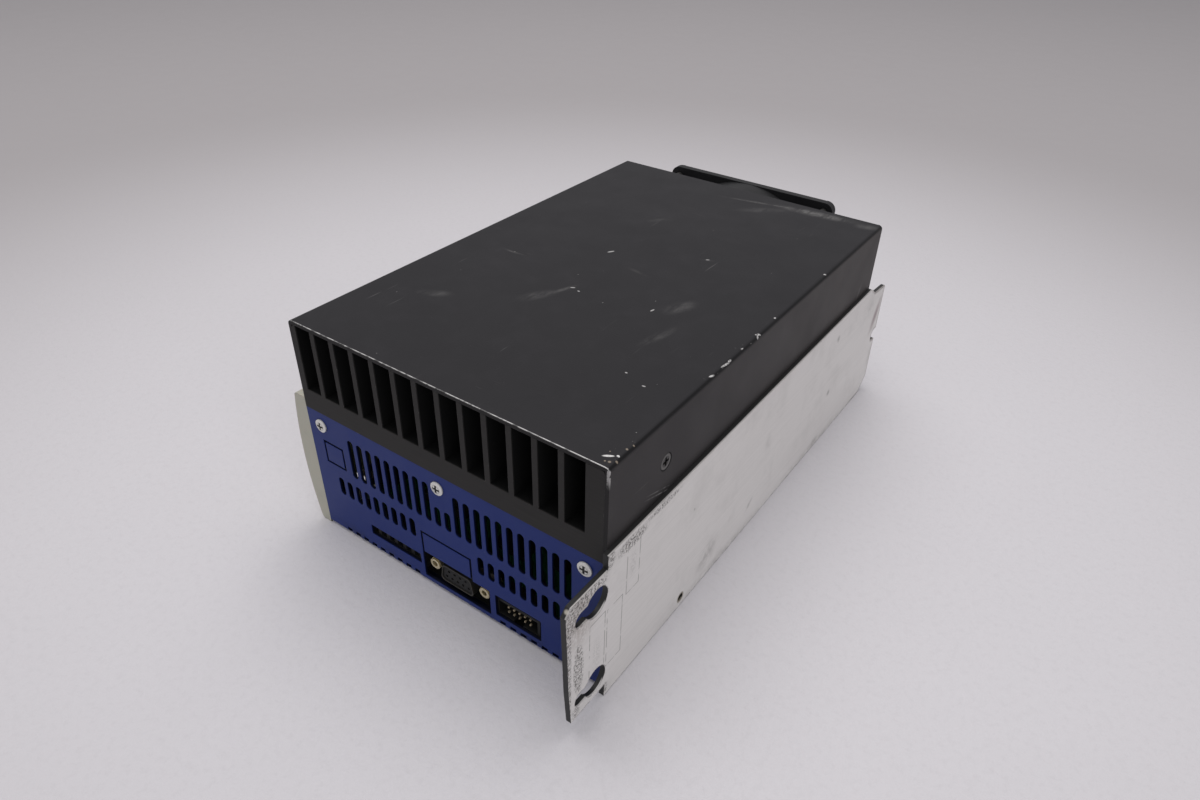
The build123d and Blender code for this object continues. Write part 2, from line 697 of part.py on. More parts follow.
power_mouths = [(front_at(power_mouth_x, y, power_header_z), ways)
                for y, ways in power_header_spots]
with BuildPart() as power_headers:
    for mouth, ways in power_mouths:
        add_header_body(mouth, ways * power_pitch + 1.6, power_header_height, 12.0, 9.0, 1.1,
                        ways, power_pitch)
        # Coding ribs on the upper wall
        for i in range(ways):
            rib = mouth.from_local_coords(
                Vector((i - (ways - 1) / 2) * power_pitch, power_header_height / 2 - 1.1, 0))
            block((rib.X, rib.Y - 0.5, rib.Z - 0.7), (rib.X + 9.0, rib.Y + 0.5, rib.Z))
save(power_headers, "power_headers")

with BuildPart() as power_pins:
    for mouth, ways in power_mouths:
        add_header_pins(mouth, 2.2, 13.2, ways, power_pitch)
save(power_pins, "power_pins")

# ---- boards and what they carry -----------------------------------------------------------------

board_front_x = front_x + 2.75
control_spacers = [(-60.0, -97.0), (-60.0, 92.0), (-10.0, 92.0), (-10.0, -54.0), (43.0, -60.0)]
power_posts = [(x, y) for x in (-52.0, 56.0) for y in (-88.0, 86.0)]

with BuildPart() as insulating_sheet:
    block((board_front_x, near_y + 4.0, housing_sheet), (50.0, 97.0, housing_sheet + 0.3))
    block((-3.0, -55.0, 0), (51.0, 98.0, 5), mode=Mode.SUBTRACT)
    for x, y in control_spacers:
        add_round(up_at(x, y, 0), 2.8, 5, mode=Mode.SUBTRACT)
save(insulating_sheet, "insulating_sheet")

with BuildPart() as board_spacers:
    for x, y in control_spacers:
        with BuildSketch(up_at(x, y, housing_sheet)) as ring:
            Circle(2.7)
            Circle(1.3, mode=Mode.SUBTRACT)
        extrude(ring.sketch, amount=control_board_z - housing_sheet)
save(board_spacers, "board_spacers")

with BuildPart() as control_board:
    block((board_front_x, near_y + 8.0, control_board_z), (48.0, -50.0, control_top))
    block((board_front_x, -50.0, control_board_z), (-5.0, 97.0, control_top))
    for x, y in control_spacers:
        add_round(up_at(x, y, 0), 1.5, 10, mode=Mode.SUBTRACT)
save(control_board, "control_board")

with BuildPart() as control_chips:
    for x, y, wide, long, high in ((-30, -30, 24, 24, 2.0), (-28, 5, 14, 20, 2.4),
                                   (-26, 32, 10, 18, 2.4), (-28, 62, 18, 12, 2.0),
                                   (8, -75, 16, 16, 2.2), (30, -72, 8, 14, 2.2)):
        block((x - wide / 2, y - long / 2, control_top),
              (x + wide / 2, y + long / 2, control_top + high))
save(control_chips, "control_chips")

with BuildPart() as power_board:
    block((board_front_x, -96.0, power_board_z), (60.0, 97.0, power_top))
    for x, y in power_posts:
        add_round(up_at(x, y, 0), 1.7, 50, mode=Mode.SUBTRACT)
save(power_board, "power_board")

with BuildPart() as power_board_posts:
    for x, y in power_posts:
        add_hex(up_at(x, y, power_top), 5.5, body_height - power_top, 1.5)
save(power_board_posts, "power_board_posts")

with BuildPart() as board_screws:
    for x, y in control_spacers:
        add_screw(up_at(x, y, control_top), 2.7, 1.8, 1.2, control_top - housing_sheet)
    for x, y in power_posts:
        add_screw(down_at(x, y, power_board_z), 2.7, 1.8, 1.2, 8.0)
save(board_screws, "board_screws")


def add_module(x, y, wide, long, base_thick, pin_columns):
    """Power semiconductor block against the heat sink, with two rows of pins to the board."""
    top = body_height - 0.3
    block((x - wide / 2, y - long / 2, top - base_thick), (x + wide / 2, y + long / 2, top))
    block((x - wide / 2 + 2, y - long / 2 + 5, power_top + 5),
          (x + wide / 2 - 2, y + long / 2 - 5, top - base_thick))
    for side in (-1, 1):
        for i in range(pin_columns):
            pin_x = x + side * (wide / 2 - 4)
            pin_y = y + (i - (pin_columns - 1) / 2) * 5.08
            block((pin_x - 0.5, pin_y - 0.5, power_top), (pin_x + 0.5, pin_y + 0.5, power_top + 5))


with BuildPart() as power_module:
    add_module(-20.0, 30.0, 46.0, 62.0, 3.0, 8)
save(power_module, "power_module")

with BuildPart() as rectifier:
    add_module(26.0, 10.0, 32.0, 44.0, 3.0, 4)
save(rectifier, "rectifier")

with BuildPart() as thermal_pads:
    block((-43.0, -1.0, body_height - 0.3), (3.0, 61.0, body_height))
    block((10.0, -12.0, body_height - 0.3), (42.0, 32.0, body_height))
save(thermal_pads, "thermal_pads")

can_radius = 12.5
with BuildPart() as link_capacitors:
    for x, y in [(x, y) for x in (14.0, 42.0) for y in (-34.0, -6.0, 22.0)]:
        with BuildSketch(axial_plane(down_at(x, y, power_board_z))) as can:
            with BuildLine():
                Polyline((0, 0), (can_radius, 0), (can_radius, 1.6), (can_radius - 0.7, 2.2),
                         (can_radius, 2.8), (can_radius, 30.0), (0, 30.0), (0, 0))
            make_face()
        revolve(can.sketch, axis=Axis((x, y, 0), (0, 0, 1)))
save(link_capacitors, "link_capacitors")

with BuildPart() as line_choke:
    with BuildSketch(up_at(28.0, 66.0, power_board_z - 22.0)):
        Circle(16.0)
        Circle(7.0, mode=Mode.SUBTRACT)
    extrude(amount=19.0)
    fillet(edges().filter_by(GeomType.CIRCLE), 3.0)
    for side in (-1, 1):
        block((28.0 + side * 11 - 1, 65.0, power_board_z - 6), (28.0 + side * 11 + 1, 67.0, power_board_z))
save(line_choke, "line_choke")

with BuildPart() as supply_transformer:
    block((-30.0, -90.0, power_board_z - 18.0), (-8.0, -66.0, power_board_z - 14.0))
    block((-30.0, -90.0, power_board_z - 4.0), (-8.0, -66.0, power_board_z))
    block((-27.0, -88.0, power_board_z - 14.0), (-11.0, -68.0, power_board_z - 4.0))
save(supply_transformer, "supply_transformer")

with BuildPart() as charge_relay:
    add_slab(up_at(-28.0, -70.0, power_top), 13.0, 28.0, 15.0, 0.8)
save(charge_relay, "charge_relay")

with BuildPart() as supply_fuse:
    fuse_at = Plane((-44.0, -60.0, power_top + 5.0), x_dir=(1, 0, 0), z_dir=(0, 1, 0))
    add_round(fuse_at, 2.6, 20.0)
    for y in (-60.0, -45.0):
        block((-45.5, y, power_top), (-42.5, y + 5.0, power_top + 5.0))
save(supply_fuse, "supply_fuse")

with BuildPart() as current_sensors:
    for y in (-20.0, 78.0):
        block((-44.0, y - 7, power_top), (-30.0, y + 7, power_top + 14))
        block((-40.0, y - 8, power_top + 4), (-34.0, y + 8, power_top + 11), mode=Mode.SUBTRACT)
save(current_sensors, "current_sensors")

with BuildPart() as board_link:
    block((-16.0, -48.0, control_top), (-10.0, -8.0, control_top + 9.0))
    block((-15.0, -47.0, control_top + 9.0), (-11.0, -9.0, power_board_z - 8.0))
    block((-16.0, -48.0, power_board_z - 8.0), (-10.0, -8.0, power_board_z))
save(board_link, "board_link")

# ---- fan ------------------------------------------------------------------------------------------

fan_corners = [(fan_x + sx * fan_hole_offset, fan_z + sz * fan_hole_offset)
               for sx in (-1, 1) for sz in (-1, 1)]
tube_radius = 5.0
bearing_radius = 3.5
shaft_radius = 1.5
cup_radius = 18.5
cup_wall = 1.2
cup_low_y = far_y + 4.5
cup_high_y = fan_far_y - 2.0
blade_tip_radius = fan_duct_radius - 1.0
blade_count = 7
guard_wire = 0.8
guard_y = fan_far_y + 1.55

with BuildPart() as fan_plate:
    block((front_x + 1.6, sink_far_y, body_height), (back_x - 1.6, far_y, fin_top - 0.05))
    chamfer(edges().filter_by(Axis.Y).group_by(Axis.Z)[-1], 1.6)
    with BuildSketch(near_plane(far_y + 1)) as plate_openings:
        with Locations((fan_x, fan_z)):
            Circle(fan_duct_radius - 1)
        with Locations(*[(x, z) for x, z in fan_corners if z > fan_z]):
            Circle(2.0)
        with Locations(*fan_plate_spots):
            Circle(1.7)
    extrude(plate_openings.sketch, amount=4, mode=Mode.SUBTRACT)
save(fan_plate, "fan_plate")

with BuildPart() as fan_plate_screws:
    for x, z in fan_plate_spots:
        add_screw(far_at(x, far_y, z), 2.9, 1.8, 1.45, 8.0)
save(fan_plate_screws, "fan_plate_screws")

with BuildPart() as fan_frame:
    flange = 3.6
    with BuildSketch(near_plane(far_y)):
        with Locations((fan_x, fan_z)):
            RectangleRounded(fan_size, fan_size, 4.5)
            Circle(fan_duct_radius, mode=Mode.SUBTRACT)
        with Locations(*fan_corners):
            Circle(2.2, mode=Mode.SUBTRACT)
    extrude(amount=-fan_depth)
    # The corners are open between the two flanges
    with BuildSketch(near_plane(far_y + flange)) as corner_relief:
        with Locations((fan_x, fan_z)):
            Rectangle(fan_size + 2, fan_size + 2)
            Circle(fan_size / 2 - 0.15, mode=Mode.SUBTRACT)
    extrude(corner_relief.sketch, amount=-(fan_depth - 2 * flange), mode=Mode.SUBTRACT)
    # Motor seat, bearing tube and struts on the inner side
    add_round(far_at(fan_x, far_y, fan_z), 18.0, 2.5)
    add_round(far_at(fan_x, far_y, fan_z), tube_radius, 17.0)
    add_round(far_at(fan_x, far_y + 1.0, fan_z), bearing_radius, 20.0, mode=Mode.SUBTRACT)
    with BuildSketch(near_plane(far_y)) as struts:
        with Locations((fan_x, fan_z)):
            with PolarLocations((17.0 + fan_duct_radius + 1) / 2, 4, start_angle=20):
                Rectangle(fan_duct_radius + 1 - 17.0, 3.6)
    extrude(struts.sketch, amount=-2.5)
save(fan_frame, "fan_frame")

with BuildPart() as fan_bearings:
    for y in (far_y + 1.5, far_y + 13.5):
        with BuildSketch(far_at(fan_x, y, fan_z)) as race:
            Circle(bearing_radius)
            Circle(shaft_radius + 0.05, mode=Mode.SUBTRACT)
        extrude(race.sketch, amount=3.0)
save(fan_bearings, "fan_bearings")

with BuildPart() as fan_stator:
    with BuildSketch(far_at(fan_x, far_y + 5.0, fan_z)):
        Circle(8.0)
        with PolarLocations(10.0, 4):
            Rectangle(8.0, 5.0)
        with PolarLocations(13.2, 4):
            Rectangle(1.6, 12.0)
        Circle(tube_radius, mode=Mode.SUBTRACT)
    extrude(amount=12.0)
save(fan_stator, "fan_stator")

with BuildPart() as fan_magnet:
    with BuildSketch(far_at(fan_x, cup_low_y + 1.0, fan_z)):
        Circle(cup_radius - cup_wall)
        Circle(cup_radius - cup_wall - 1.4, mode=Mode.SUBTRACT)
    extrude(amount=14.0)
save(fan_magnet, "fan_magnet")

with BuildPart() as fan_shaft:
    add_round(far_at(fan_x, far_y + 1.8, fan_z), shaft_radius, cup_high_y - 1.6 - far_y - 1.8)
save(fan_shaft, "fan_shaft")


def blade_section(radius, half_chord, half_rise, lean):
    """Cambered blade section on the plane square to the radius along +X."""
    at = Plane((fan_x + radius, (cup_low_y + cup_high_y) / 2, fan_z), x_dir=(0, 1, 0),
               z_dir=(1, 0, 0))
    start = (-half_chord, lean - half_rise)
    end = (half_chord, lean + half_rise)
    with BuildSketch(at) as section:
        with BuildLine():
            ThreePointArc(start, (0.9, lean - 1.5), end)
            ThreePointArc(end, (-0.1, lean - 0.1), start)
        make_face()
    return section.sketch


with BuildPart() as fan_impeller:
    with BuildSketch(axial_plane(far_at(fan_x, 0, fan_z))) as cup_profile:
        with BuildLine():
            Polyline((0, cup_high_y), (0, cup_high_y - 1.6),
                     (cup_radius - cup_wall, cup_high_y - 1.6),
                     (cup_radius - cup_wall, cup_low_y), (cup_radius, cup_low_y),
                     (cup_radius, cup_high_y - 1.5))
            ThreePointArc((cup_radius, cup_high_y - 1.5),
                          (cup_radius - 0.44, cup_high_y - 0.44), (cup_radius - 1.5, cup_high_y))
            Line((cup_radius - 1.5, cup_high_y), (0, cup_high_y))
        make_face()
    revolve(cup_profile.sketch, axis=Axis((fan_x, 0, fan_z), (0, 1, 0)))
    blade = loft([blade_section(cup_radius - 0.6, 8.4, 4.6, 0.0),
                  blade_section(fan_duct_radius + 2, 6.6, 11.0, 5.0)], mode=Mode.PRIVATE)
    trim = Solid.make_cylinder(blade_tip_radius, fan_depth,
                               Plane((fan_x, far_y, fan_z), z_dir=(0, 1, 0)))
    spin = Axis((fan_x, 0, fan_z), (0, 1, 0))
    for i in range(blade_count):
        add((blade & trim).rotate(spin, i * 360 / blade_count))
save(fan_impeller, "fan_impeller")

with BuildPart() as fan_guard:
    at = far_at(fan_x, guard_y, fan_z)
    for ring_radius in (12.0, 20.0, 28.0, 36.0, 43.5):
        with Locations(at):
            Torus(ring_radius, guard_wire)
    for x, z in fan_corners:
        corner = Vector(x - fan_x, 0, z - fan_z)
        reach = corner.length - 3.6
        inner = Vector(fan_x, fan_far_y + guard_wire + 0.1, fan_z) + corner.normalized() * 11.6
        along = Plane(inner, x_dir=(0, 1, 0), z_dir=corner.normalized())
        add_round(along, guard_wire, reach - 11.6)
        with BuildSketch(far_at(x, fan_far_y, z)) as eye:
            Circle(4.4)
            Circle(2.3, mode=Mode.SUBTRACT)
        extrude(eye.sketch, amount=1.2)
save(fan_guard, "fan_guard")

with BuildPart() as fan_screws:
    for x, z in fan_corners:
        tip_y = sink_far_y + 0.1 if z > fan_z else far_y - 5.0
        add_screw(far_at(x, fan_far_y + 1.2, z), 3.6, 1.8, 1.9, fan_far_y + 1.2 - tip_y)
save(fan_screws, "fan_screws")

with BuildPart() as fan_nuts:
    for x, z in foot_holes:
        add_hex(near_at(x, far_y - housing_sheet, z), 6.6, 3.2, 2.0)
save(fan_nuts, "fan_nuts")
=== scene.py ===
import math

import bmesh
import bpy
from mathutils import Matrix, Vector


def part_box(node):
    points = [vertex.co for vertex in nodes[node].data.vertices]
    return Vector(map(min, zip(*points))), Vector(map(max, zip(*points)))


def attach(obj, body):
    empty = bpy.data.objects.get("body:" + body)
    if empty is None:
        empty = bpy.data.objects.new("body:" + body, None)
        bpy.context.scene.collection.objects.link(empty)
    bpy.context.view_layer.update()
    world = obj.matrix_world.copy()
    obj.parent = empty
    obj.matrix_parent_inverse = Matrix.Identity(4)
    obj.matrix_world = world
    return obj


# A servo drive lying on its side: procedural finishes for every CAD node, raised marks on its
# keys, a pale floor, soft light and the camera. Metres, in the CAD frame.
# Materials work in millimetres of the object's own space, which for a CAD node is the frame.

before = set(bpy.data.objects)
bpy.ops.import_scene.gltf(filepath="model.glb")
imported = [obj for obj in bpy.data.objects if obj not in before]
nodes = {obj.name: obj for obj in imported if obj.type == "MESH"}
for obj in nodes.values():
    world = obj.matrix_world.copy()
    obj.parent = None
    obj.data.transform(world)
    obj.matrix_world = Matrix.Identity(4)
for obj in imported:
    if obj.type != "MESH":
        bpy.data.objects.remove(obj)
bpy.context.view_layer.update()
scene = bpy.context.scene


# ---- material building ----------------------------------------------------------------------

class Mat:
    """One node material. Values are sockets or numbers; lengths are millimetres."""

    def __init__(self, name, **constants):
        self.material = bpy.data.materials.new(name)
        self.material.use_nodes = True
        self.tree = self.material.node_tree
        self.tree.nodes.clear()
        self.out = self.tree.nodes.new("ShaderNodeOutputMaterial")
        self.shader = self.tree.nodes.new("ShaderNodeBsdfPrincipled")
        self.tree.links.new(self.shader.outputs[0], self.out.inputs[0])
        for key, value in constants.items():
            self.shader.inputs[key.replace("_", " ")].default_value = value
        coord = self.tree.nodes.new("ShaderNodeTexCoord")
        self.mm = self.vec("SCALE", coord.outputs["Object"], scale=1000.0)
        axes = self.tree.nodes.new("ShaderNodeSeparateXYZ")
        self.tree.links.new(self.mm, axes.inputs[0])
        self.x, self.y, self.z = axes.outputs
        self.geometry = self.tree.nodes.new("ShaderNodeNewGeometry")
        normal = self.tree.nodes.new("ShaderNodeSeparateXYZ")
        turned = self.tree.nodes.new("ShaderNodeVectorTransform")
        turned.vector_type = "NORMAL"
        turned.convert_from = "WORLD"
        turned.convert_to = "OBJECT"
        self.tree.links.new(self.geometry.outputs["Normal"], turned.inputs[0])
        self.tree.links.new(turned.outputs[0], normal.inputs[0])
        self.nx, self.ny, self.nz = normal.outputs

    def put(self, socket, value):
        if isinstance(value, bpy.types.NodeSocket):
            self.tree.links.new(value, socket)
        elif value is not None:
            if isinstance(value, tuple) and len(value) == 3 and len(socket.default_value) == 4:
                value = (*value, 1.0)
            socket.default_value = value

    def op(self, operation, a, b=None, c=None, clamp=False):
        node = self.tree.nodes.new("ShaderNodeMath")
        node.operation = operation
        node.use_clamp = clamp
        for socket, value in zip(node.inputs, (a, b, c)):
            self.put(socket, value)
        return node.outputs[0]

    def vec(self, operation, a, b=None, scale=None):
        node = self.tree.nodes.new("ShaderNodeVectorMath")
        node.operation = operation
        self.put(node.inputs[0], a)
        if b is not None:
            self.put(node.inputs[1], b)
        if scale is not None:
            self.put(node.inputs["Scale"], scale)
        return node.outputs["Value" if operation in ("LENGTH", "DOT_PRODUCT") else "Vector"]

    def step(self, value, start, end, low=0.0, high=1.0):
        """Smooth step from low at start to high at end."""
        node = self.tree.nodes.new("ShaderNodeMapRange")
        node.interpolation_type = "SMOOTHSTEP"
        self.put(node.inputs["Value"], value)
        for name, number in (("From Min", start), ("From Max", end), ("To Min", low),
                             ("To Max", high)):
            self.put(node.inputs[name], number)
        return node.outputs[0]

    def times(self, *values):
        total = values[0]
        for value in values[1:]:
            total = self.op("MULTIPLY", total, value)
        return total

    def most(self, *values):
        total = values[0]
        for value in values[1:]:
            total = self.op("MAXIMUM", total, value)
        return total

    def plus(self, *values, clamp=False):
        total = values[0]
        for value in values[1:]:
            total = self.op("ADD", total, value, clamp=clamp)
        return total

    def invert(self, value):
        return self.op("SUBTRACT", 1.0, value, clamp=True)

    def noise(self, scale, detail=3.0, rough=0.55, stretch=None, shift=(0.0, 0.0, 0.0),
              distort=0.0):
        """Noise with `scale` cycles per millimetre, stretched along the axes if asked."""
        node = self.tree.nodes.new("ShaderNodeTexNoise")
        place = self.tree.nodes.new("ShaderNodeMapping")
        place.inputs["Scale"].default_value = stretch or (1.0, 1.0, 1.0)
        place.inputs["Location"].default_value = shift
        self.put(place.inputs[0], self.mm)
        self.put(node.inputs["Vector"], place.outputs[0])
        self.put(node.inputs["Scale"], scale)
        self.put(node.inputs["Detail"], detail)
        self.put(node.inputs["Roughness"], rough)
        self.put(node.inputs["Distortion"], distort)
        return node.outputs[0]

    def cells(self, scale, feature="F1", stretch=None, randomness=1.0):
        node = self.tree.nodes.new("ShaderNodeTexVoronoi")
        node.feature = feature
        place = self.tree.nodes.new("ShaderNodeMapping")
        place.inputs["Scale"].default_value = stretch or (1.0, 1.0, 1.0)
        self.put(place.inputs[0], self.mm)
        self.put(node.inputs["Vector"], place.outputs[0])
        self.put(node.inputs["Scale"], scale)
        self.put(node.inputs["Randomness"], randomness)
        return node

    def specks(self, scale, size, share):
        """Small round specks in a random share of cells; size is in cells."""
        node = self.cells(scale)
        dot = self.step(node.outputs["Distance"], size, size * 0.6)
        pick = self.tree.nodes.new("ShaderNodeSeparateColor")
        self.put(pick.inputs[0], node.outputs["Color"])
        chosen = self.step(pick.outputs[0], 1.0 - share, 1.0 - share * 0.9)
        return self.times(dot, chosen)

    def patch(self, centre, radii, turn=0.0, axis="Z", soft=1.0):
        """A soft elliptical patch, 1 at its centre and 0 outside."""
        moved = self.vec("SUBTRACT", self.mm, tuple(centre))
        if turn:
            node = self.tree.nodes.new("ShaderNodeVectorRotate")
            node.rotation_type = axis + "_AXIS"
            self.put(node.inputs["Vector"], moved)
            self.put(node.inputs["Angle"], -math.radians(turn))
            moved = node.outputs[0]
        scaled = self.vec("MULTIPLY", moved, tuple(1.0 / r for r in radii))
        return self.step(self.vec("LENGTH", scaled), 1.0, 1.0 - soft)

    def from_axis(self, y, z):
        """Distance in millimetres from the line along X through y, z."""
        return self.op("SQRT", self.plus(self.op("POWER", self.op("SUBTRACT", self.y, y), 2.0),
                                         self.op("POWER", self.op("SUBTRACT", self.z, z), 2.0)))

    def edge(self, radius, start=0.02, end=0.25):
        """1 along sharp outer edges, within about `radius` millimetres of them."""
        node = self.tree.nodes.new("ShaderNodeBevel")
        node.samples = 6
        node.inputs["Radius"].default_value = radius / 1000
        same = self.vec("DOT_PRODUCT", node.outputs[0], self.geometry.outputs["Normal"])
        return self.step(self.op("SUBTRACT", 1.0, same), start, end)

    def mix(self, share, a, b):
        node = self.tree.nodes.new("ShaderNodeMix")
        node.data_type = "RGBA"
        self.put(node.inputs["Factor"], share)
        self.put(node.inputs[6], a)
        self.put(node.inputs[7], b)
        return node.outputs[2]

    def blend(self, share, a, b):
        """Number a where share is 0 and b where it is 1."""
        node = self.tree.nodes.new("ShaderNodeMix")
        node.data_type = "FLOAT"
        self.put(node.inputs["Factor"], share)
        self.put(node.inputs[2], a)
        self.put(node.inputs[3], b)
        return node.outputs[0]

    def bump(self, height, depth, strength=1.0, radius=None):
        """Relief of `depth` millimetres, on top of rounded-looking edges if radius is given."""
        node = self.tree.nodes.new("ShaderNodeBump")
        self.put(node.inputs["Height"], height)
        self.put(node.inputs["Strength"], strength)
        self.put(node.inputs["Distance"], depth / 1000)
        if radius:
            soft = self.tree.nodes.new("ShaderNodeBevel")
            soft.samples = 4
            soft.inputs["Radius"].default_value = radius / 1000
            self.put(node.inputs["Normal"], soft.outputs[0])
        self.put(self.shader.inputs["Normal"], node.outputs[0])

    def set(self, **sockets):
        for key, value in sockets.items():
            self.put(self.shader.inputs[key.replace("_", " ")], value)

    def done(self):
        return self.material


def tinted(colour, share):
    return tuple(c * share for c in colour)


# ---- finishes of the outside --------------------------------------------------------------------

# Places on the outside, in millimetres of the frame
COVER_TOP = 97.4
COVER_BEND = 97.0
COVER_SIDE = 73.2
SIDE_SCREWS_Y = (-78.0, 77.0)
SIDE_SCREWS_Z = 79.5
HEAD_SCREWS_X = (-59.35, 1.55, 65.35)
HEAD_SCREWS_Z = 53.6
PLATE_FACE = 75.2

METAL_CHIP = (0.62, 0.61, 0.60)
DUST = (0.42, 0.41, 0.40)
DEEP_BLACK = (0.002, 0.002, 0.002)


def cover_coat():
    """Charcoal satin powder coat: worn near edge, chipped bend, smudges, scratches."""
    m = Mat("cover_coat", Specular_IOR_Level=0.19)
    base, light = (0.0112, 0.0106, 0.0124), (0.0158, 0.0149, 0.0170)
    colour = m.mix(m.noise(0.02, 4.0, 0.6), base, light)
    colour = m.mix(m.step(m.noise(0.11, 4.0), 0.45, 0.75, 0.0, 0.35), colour, tinted(light, 1.3))
    streaks = m.noise(0.09, 5.0, 0.7, stretch=(3.2, 0.6, 1.0))
    hazes = [((-39.6, -64.0), (9, 3.5), 28, 0.13), ((-8.0, -42.0), (11, 4.0), 62, 0.12),
             ((-3.0, -32.0), (9, 1.6), 70, 0.13), ((-9.6, 48.0), (8, 3.0), 50, 0.07),
             ((28.0, 24.8), (5, 1.6), 20, 0.07), ((11.0, -1.8), (8, 1.4), -10, 0.06),
             ((40.0, -17.0), (10, 5.0), 70, 0.13), ((45.0, -40.0), (12, 2.8), 78, 0.13),
             ((44.0, 99.0), (24, 4.5), 5, 0.30), ((16.0, 95.0), (26, 1.4), 12, 0.16),
             ((22.0, 88.0), (16, 4.0), 38, 0.10), ((68.0, 99.0), (7, 4.0), 20, 0.16)]
    haze = None
    for (x, y), (long, wide), turn, strength in hazes:
        spot = m.times(m.patch((x, y, COVER_TOP), (long, wide, 8.0), turn), strength)
        haze = spot if haze is None else m.plus(haze, spot)
    haze = m.times(haze, m.step(streaks, 0.32, 0.58), m.step(m.noise(0.5, 4.0, 0.7), 0.25, 0.6, 0.35, 1.0))
    colour = m.mix(haze, colour, DUST)
    # Fine scratches in two directions
    hair_a = m.step(m.noise(1.0, 2.0, 0.5, stretch=(0.9, 0.03, 1.0)), 0.70, 0.76)
    hair_b = m.step(m.noise(1.0, 2.0, 0.5, stretch=(0.04, 0.8, 0.9), shift=(9, 4, 2)), 0.72, 0.78)
    hair = m.times(m.most(hair_a, hair_b), m.step(m.noise(0.03, 2.0), 0.5, 0.7), 0.16)
    colour = m.mix(hair, colour, DUST)
    # The sides are painted lighter and warmer than the top, more so towards the fan end
    side = m.times(m.step(m.nz, 0.6, 0.2), m.step(m.y, -60.0, 104.0, 0.45, 1.0))
    colour = m.mix(m.times(side, m.step(m.noise(0.04, 3.0), 0.2, 0.8, 0.6, 1.0)), colour,
                   (0.046, 0.0405, 0.0390))
    # Painted shade: the bend reads as a dark line between the top and the sides
    crease = m.times(m.step(m.x, 72.25, 72.55), m.step(m.z, 96.35, 96.60))
    colour = m.mix(m.times(crease, 0.75), colour, DEEP_BLACK)
    # Painted shade: a black ring round each side screw
    facing_x = m.step(m.op("ABSOLUTE", m.nx), 0.7, 0.9)
    front_only = m.step(m.x, 0.0, -10.0)
    for screw_y, there in zip(SIDE_SCREWS_Y, (1.0, front_only)):
        ring = m.times(m.step(m.from_axis(screw_y, SIDE_SCREWS_Z), 3.60, 3.42), facing_x, there)
        colour = m.mix(m.times(ring, 0.9), colour, DEEP_BLACK)
    # Bare metal: specks, the worn edge, chips along the bend and the corner
    top = m.step(m.nz, 0.3, 0.9)
    specks = m.times(m.specks(0.33, 0.07, 0.035), top, 0.55)
    fine_place = m.most(m.patch((56.0, -66.0, COVER_TOP), (13.0, 34.0, 8.0), soft=0.7), 0.12)
    fine = m.times(m.specks(1.1, 0.12, 0.035), top, fine_place, 0.75)
    nicks = m.patch((-8.0, 7.2, COVER_TOP), (1.9, 0.6, 4.0), 60, soft=0.4)
    for x, y, long, wide, turn in ((33.1, -25.1, 1.3, 0.45, 80), (-1.0, -28.5, 1.2, 0.4, 30),
                                   (2.5, -29.5, 0.7, 0.4, 0), (28.0, 25.2, 1.0, 0.4, 30),
                                   (58.0, -69.2, 0.8, 0.4, 10), (49.1, -66.0, 0.6, 0.4, 0)):
        nicks = m.most(nicks, m.patch((x, y, COVER_TOP), (long, wide, 4.0), turn, soft=0.4))
    on_top = m.times(top, m.step(m.y, -109.62, -109.78))
    on_end = m.times(m.step(m.ny, -0.5, -0.9), m.step(m.z, 97.15, 97.28))
    uneven = m.plus(m.noise(0.30, 4.0, 0.65), m.step(m.x, 20.0, 72.0, 0.0, 0.10))
    rubbed = m.step(uneven, 0.40, 0.58, 0.15, 0.9)
    worn = m.times(m.most(on_top, on_end), rubbed)
    # Along the bend: fine scattered specks and a few longer chips; tan dots near the corner
    beside = m.most(m.patch((71.6, -27.0, COVER_BEND), (3.4, 40.0, 4.0), soft=0.8),
                    m.patch((71.8, -98.0, COVER_BEND), (3.0, 9.0, 4.0), soft=0.8))
    dotted = m.times(m.specks(1.25, 0.17, 0.10), beside, 0.85)
    chips = None
    for x, y, long, wide, turn in ((72.5, -41.5, 3.0, 0.35, 84), (72.5, -38.5, 1.2, 0.4, 90),
                                   (72.3, -50.5, 1.6, 0.4, 75), (72.2, -17.0, 1.5, 0.45, 60),
                                   (72.7, -18.0, 1.1, 0.4, 110), (71.8, -2.5, 0.8, 0.4, 90),
                                   (72.0, 42.5, 0.8, 0.45, 60), (72.2, -29.0, 0.9, 0.3, 90)):
        chip = m.patch((x, y, COVER_BEND), (long, wide, 2.5), turn, soft=0.4)
        chips = chip if chips is None else m.most(chips, chip)
    chips = m.times(chips, m.step(m.noise(2.0, 3.0, 0.6), 0.42, 0.50))
    ragged = m.step(m.noise(1.5, 4.0, 0.7, shift=(3, 1, 8)), 0.32, 0.42)
    corner = m.most(m.patch((69.4, -105.2, COVER_TOP), (2.1, 0.55, 1.5), 33, soft=0.35),
                    m.patch((71.7, -103.6, 97.3), (0.6, 0.5, 1.5), 0, soft=0.4))
    tan = None
    for x, y, z, size in ((71.2, -107.2, 97.3, 0.6), (69.9, -107.6, 97.4, 0.4), (72.6, -105.6, 96.8, 0.5),
                          (71.9, -99.4, 97.2, 0.5), (72.4, -96.6, 96.9, 0.4), (68.6, -103.2, 97.4, 0.3)):
        spot = m.patch((x, y, z), (size, size, 1.5), soft=0.5)
        tan = spot if tan is None else m.most(tan, spot)
    streak = m.times(m.step(m.x, 72.1, 72.5), m.step(m.y, -109.2, -109.5),
                     m.step(m.z, 89.0, 94.0), m.step(m.noise(0.8, 3.0), 0.40, 0.52))
    chips = m.most(chips, dotted, m.times(corner, ragged), m.times(streak, 0.7))
    rubs = None
    for z_shift, strength in ((0.0, 0.34), (1.5, 0.22)):
        line = m.patch((COVER_SIDE, -80.5, 68.0 + z_shift), (3.0, 11.5, 0.32), -18.5, "X", soft=0.9)
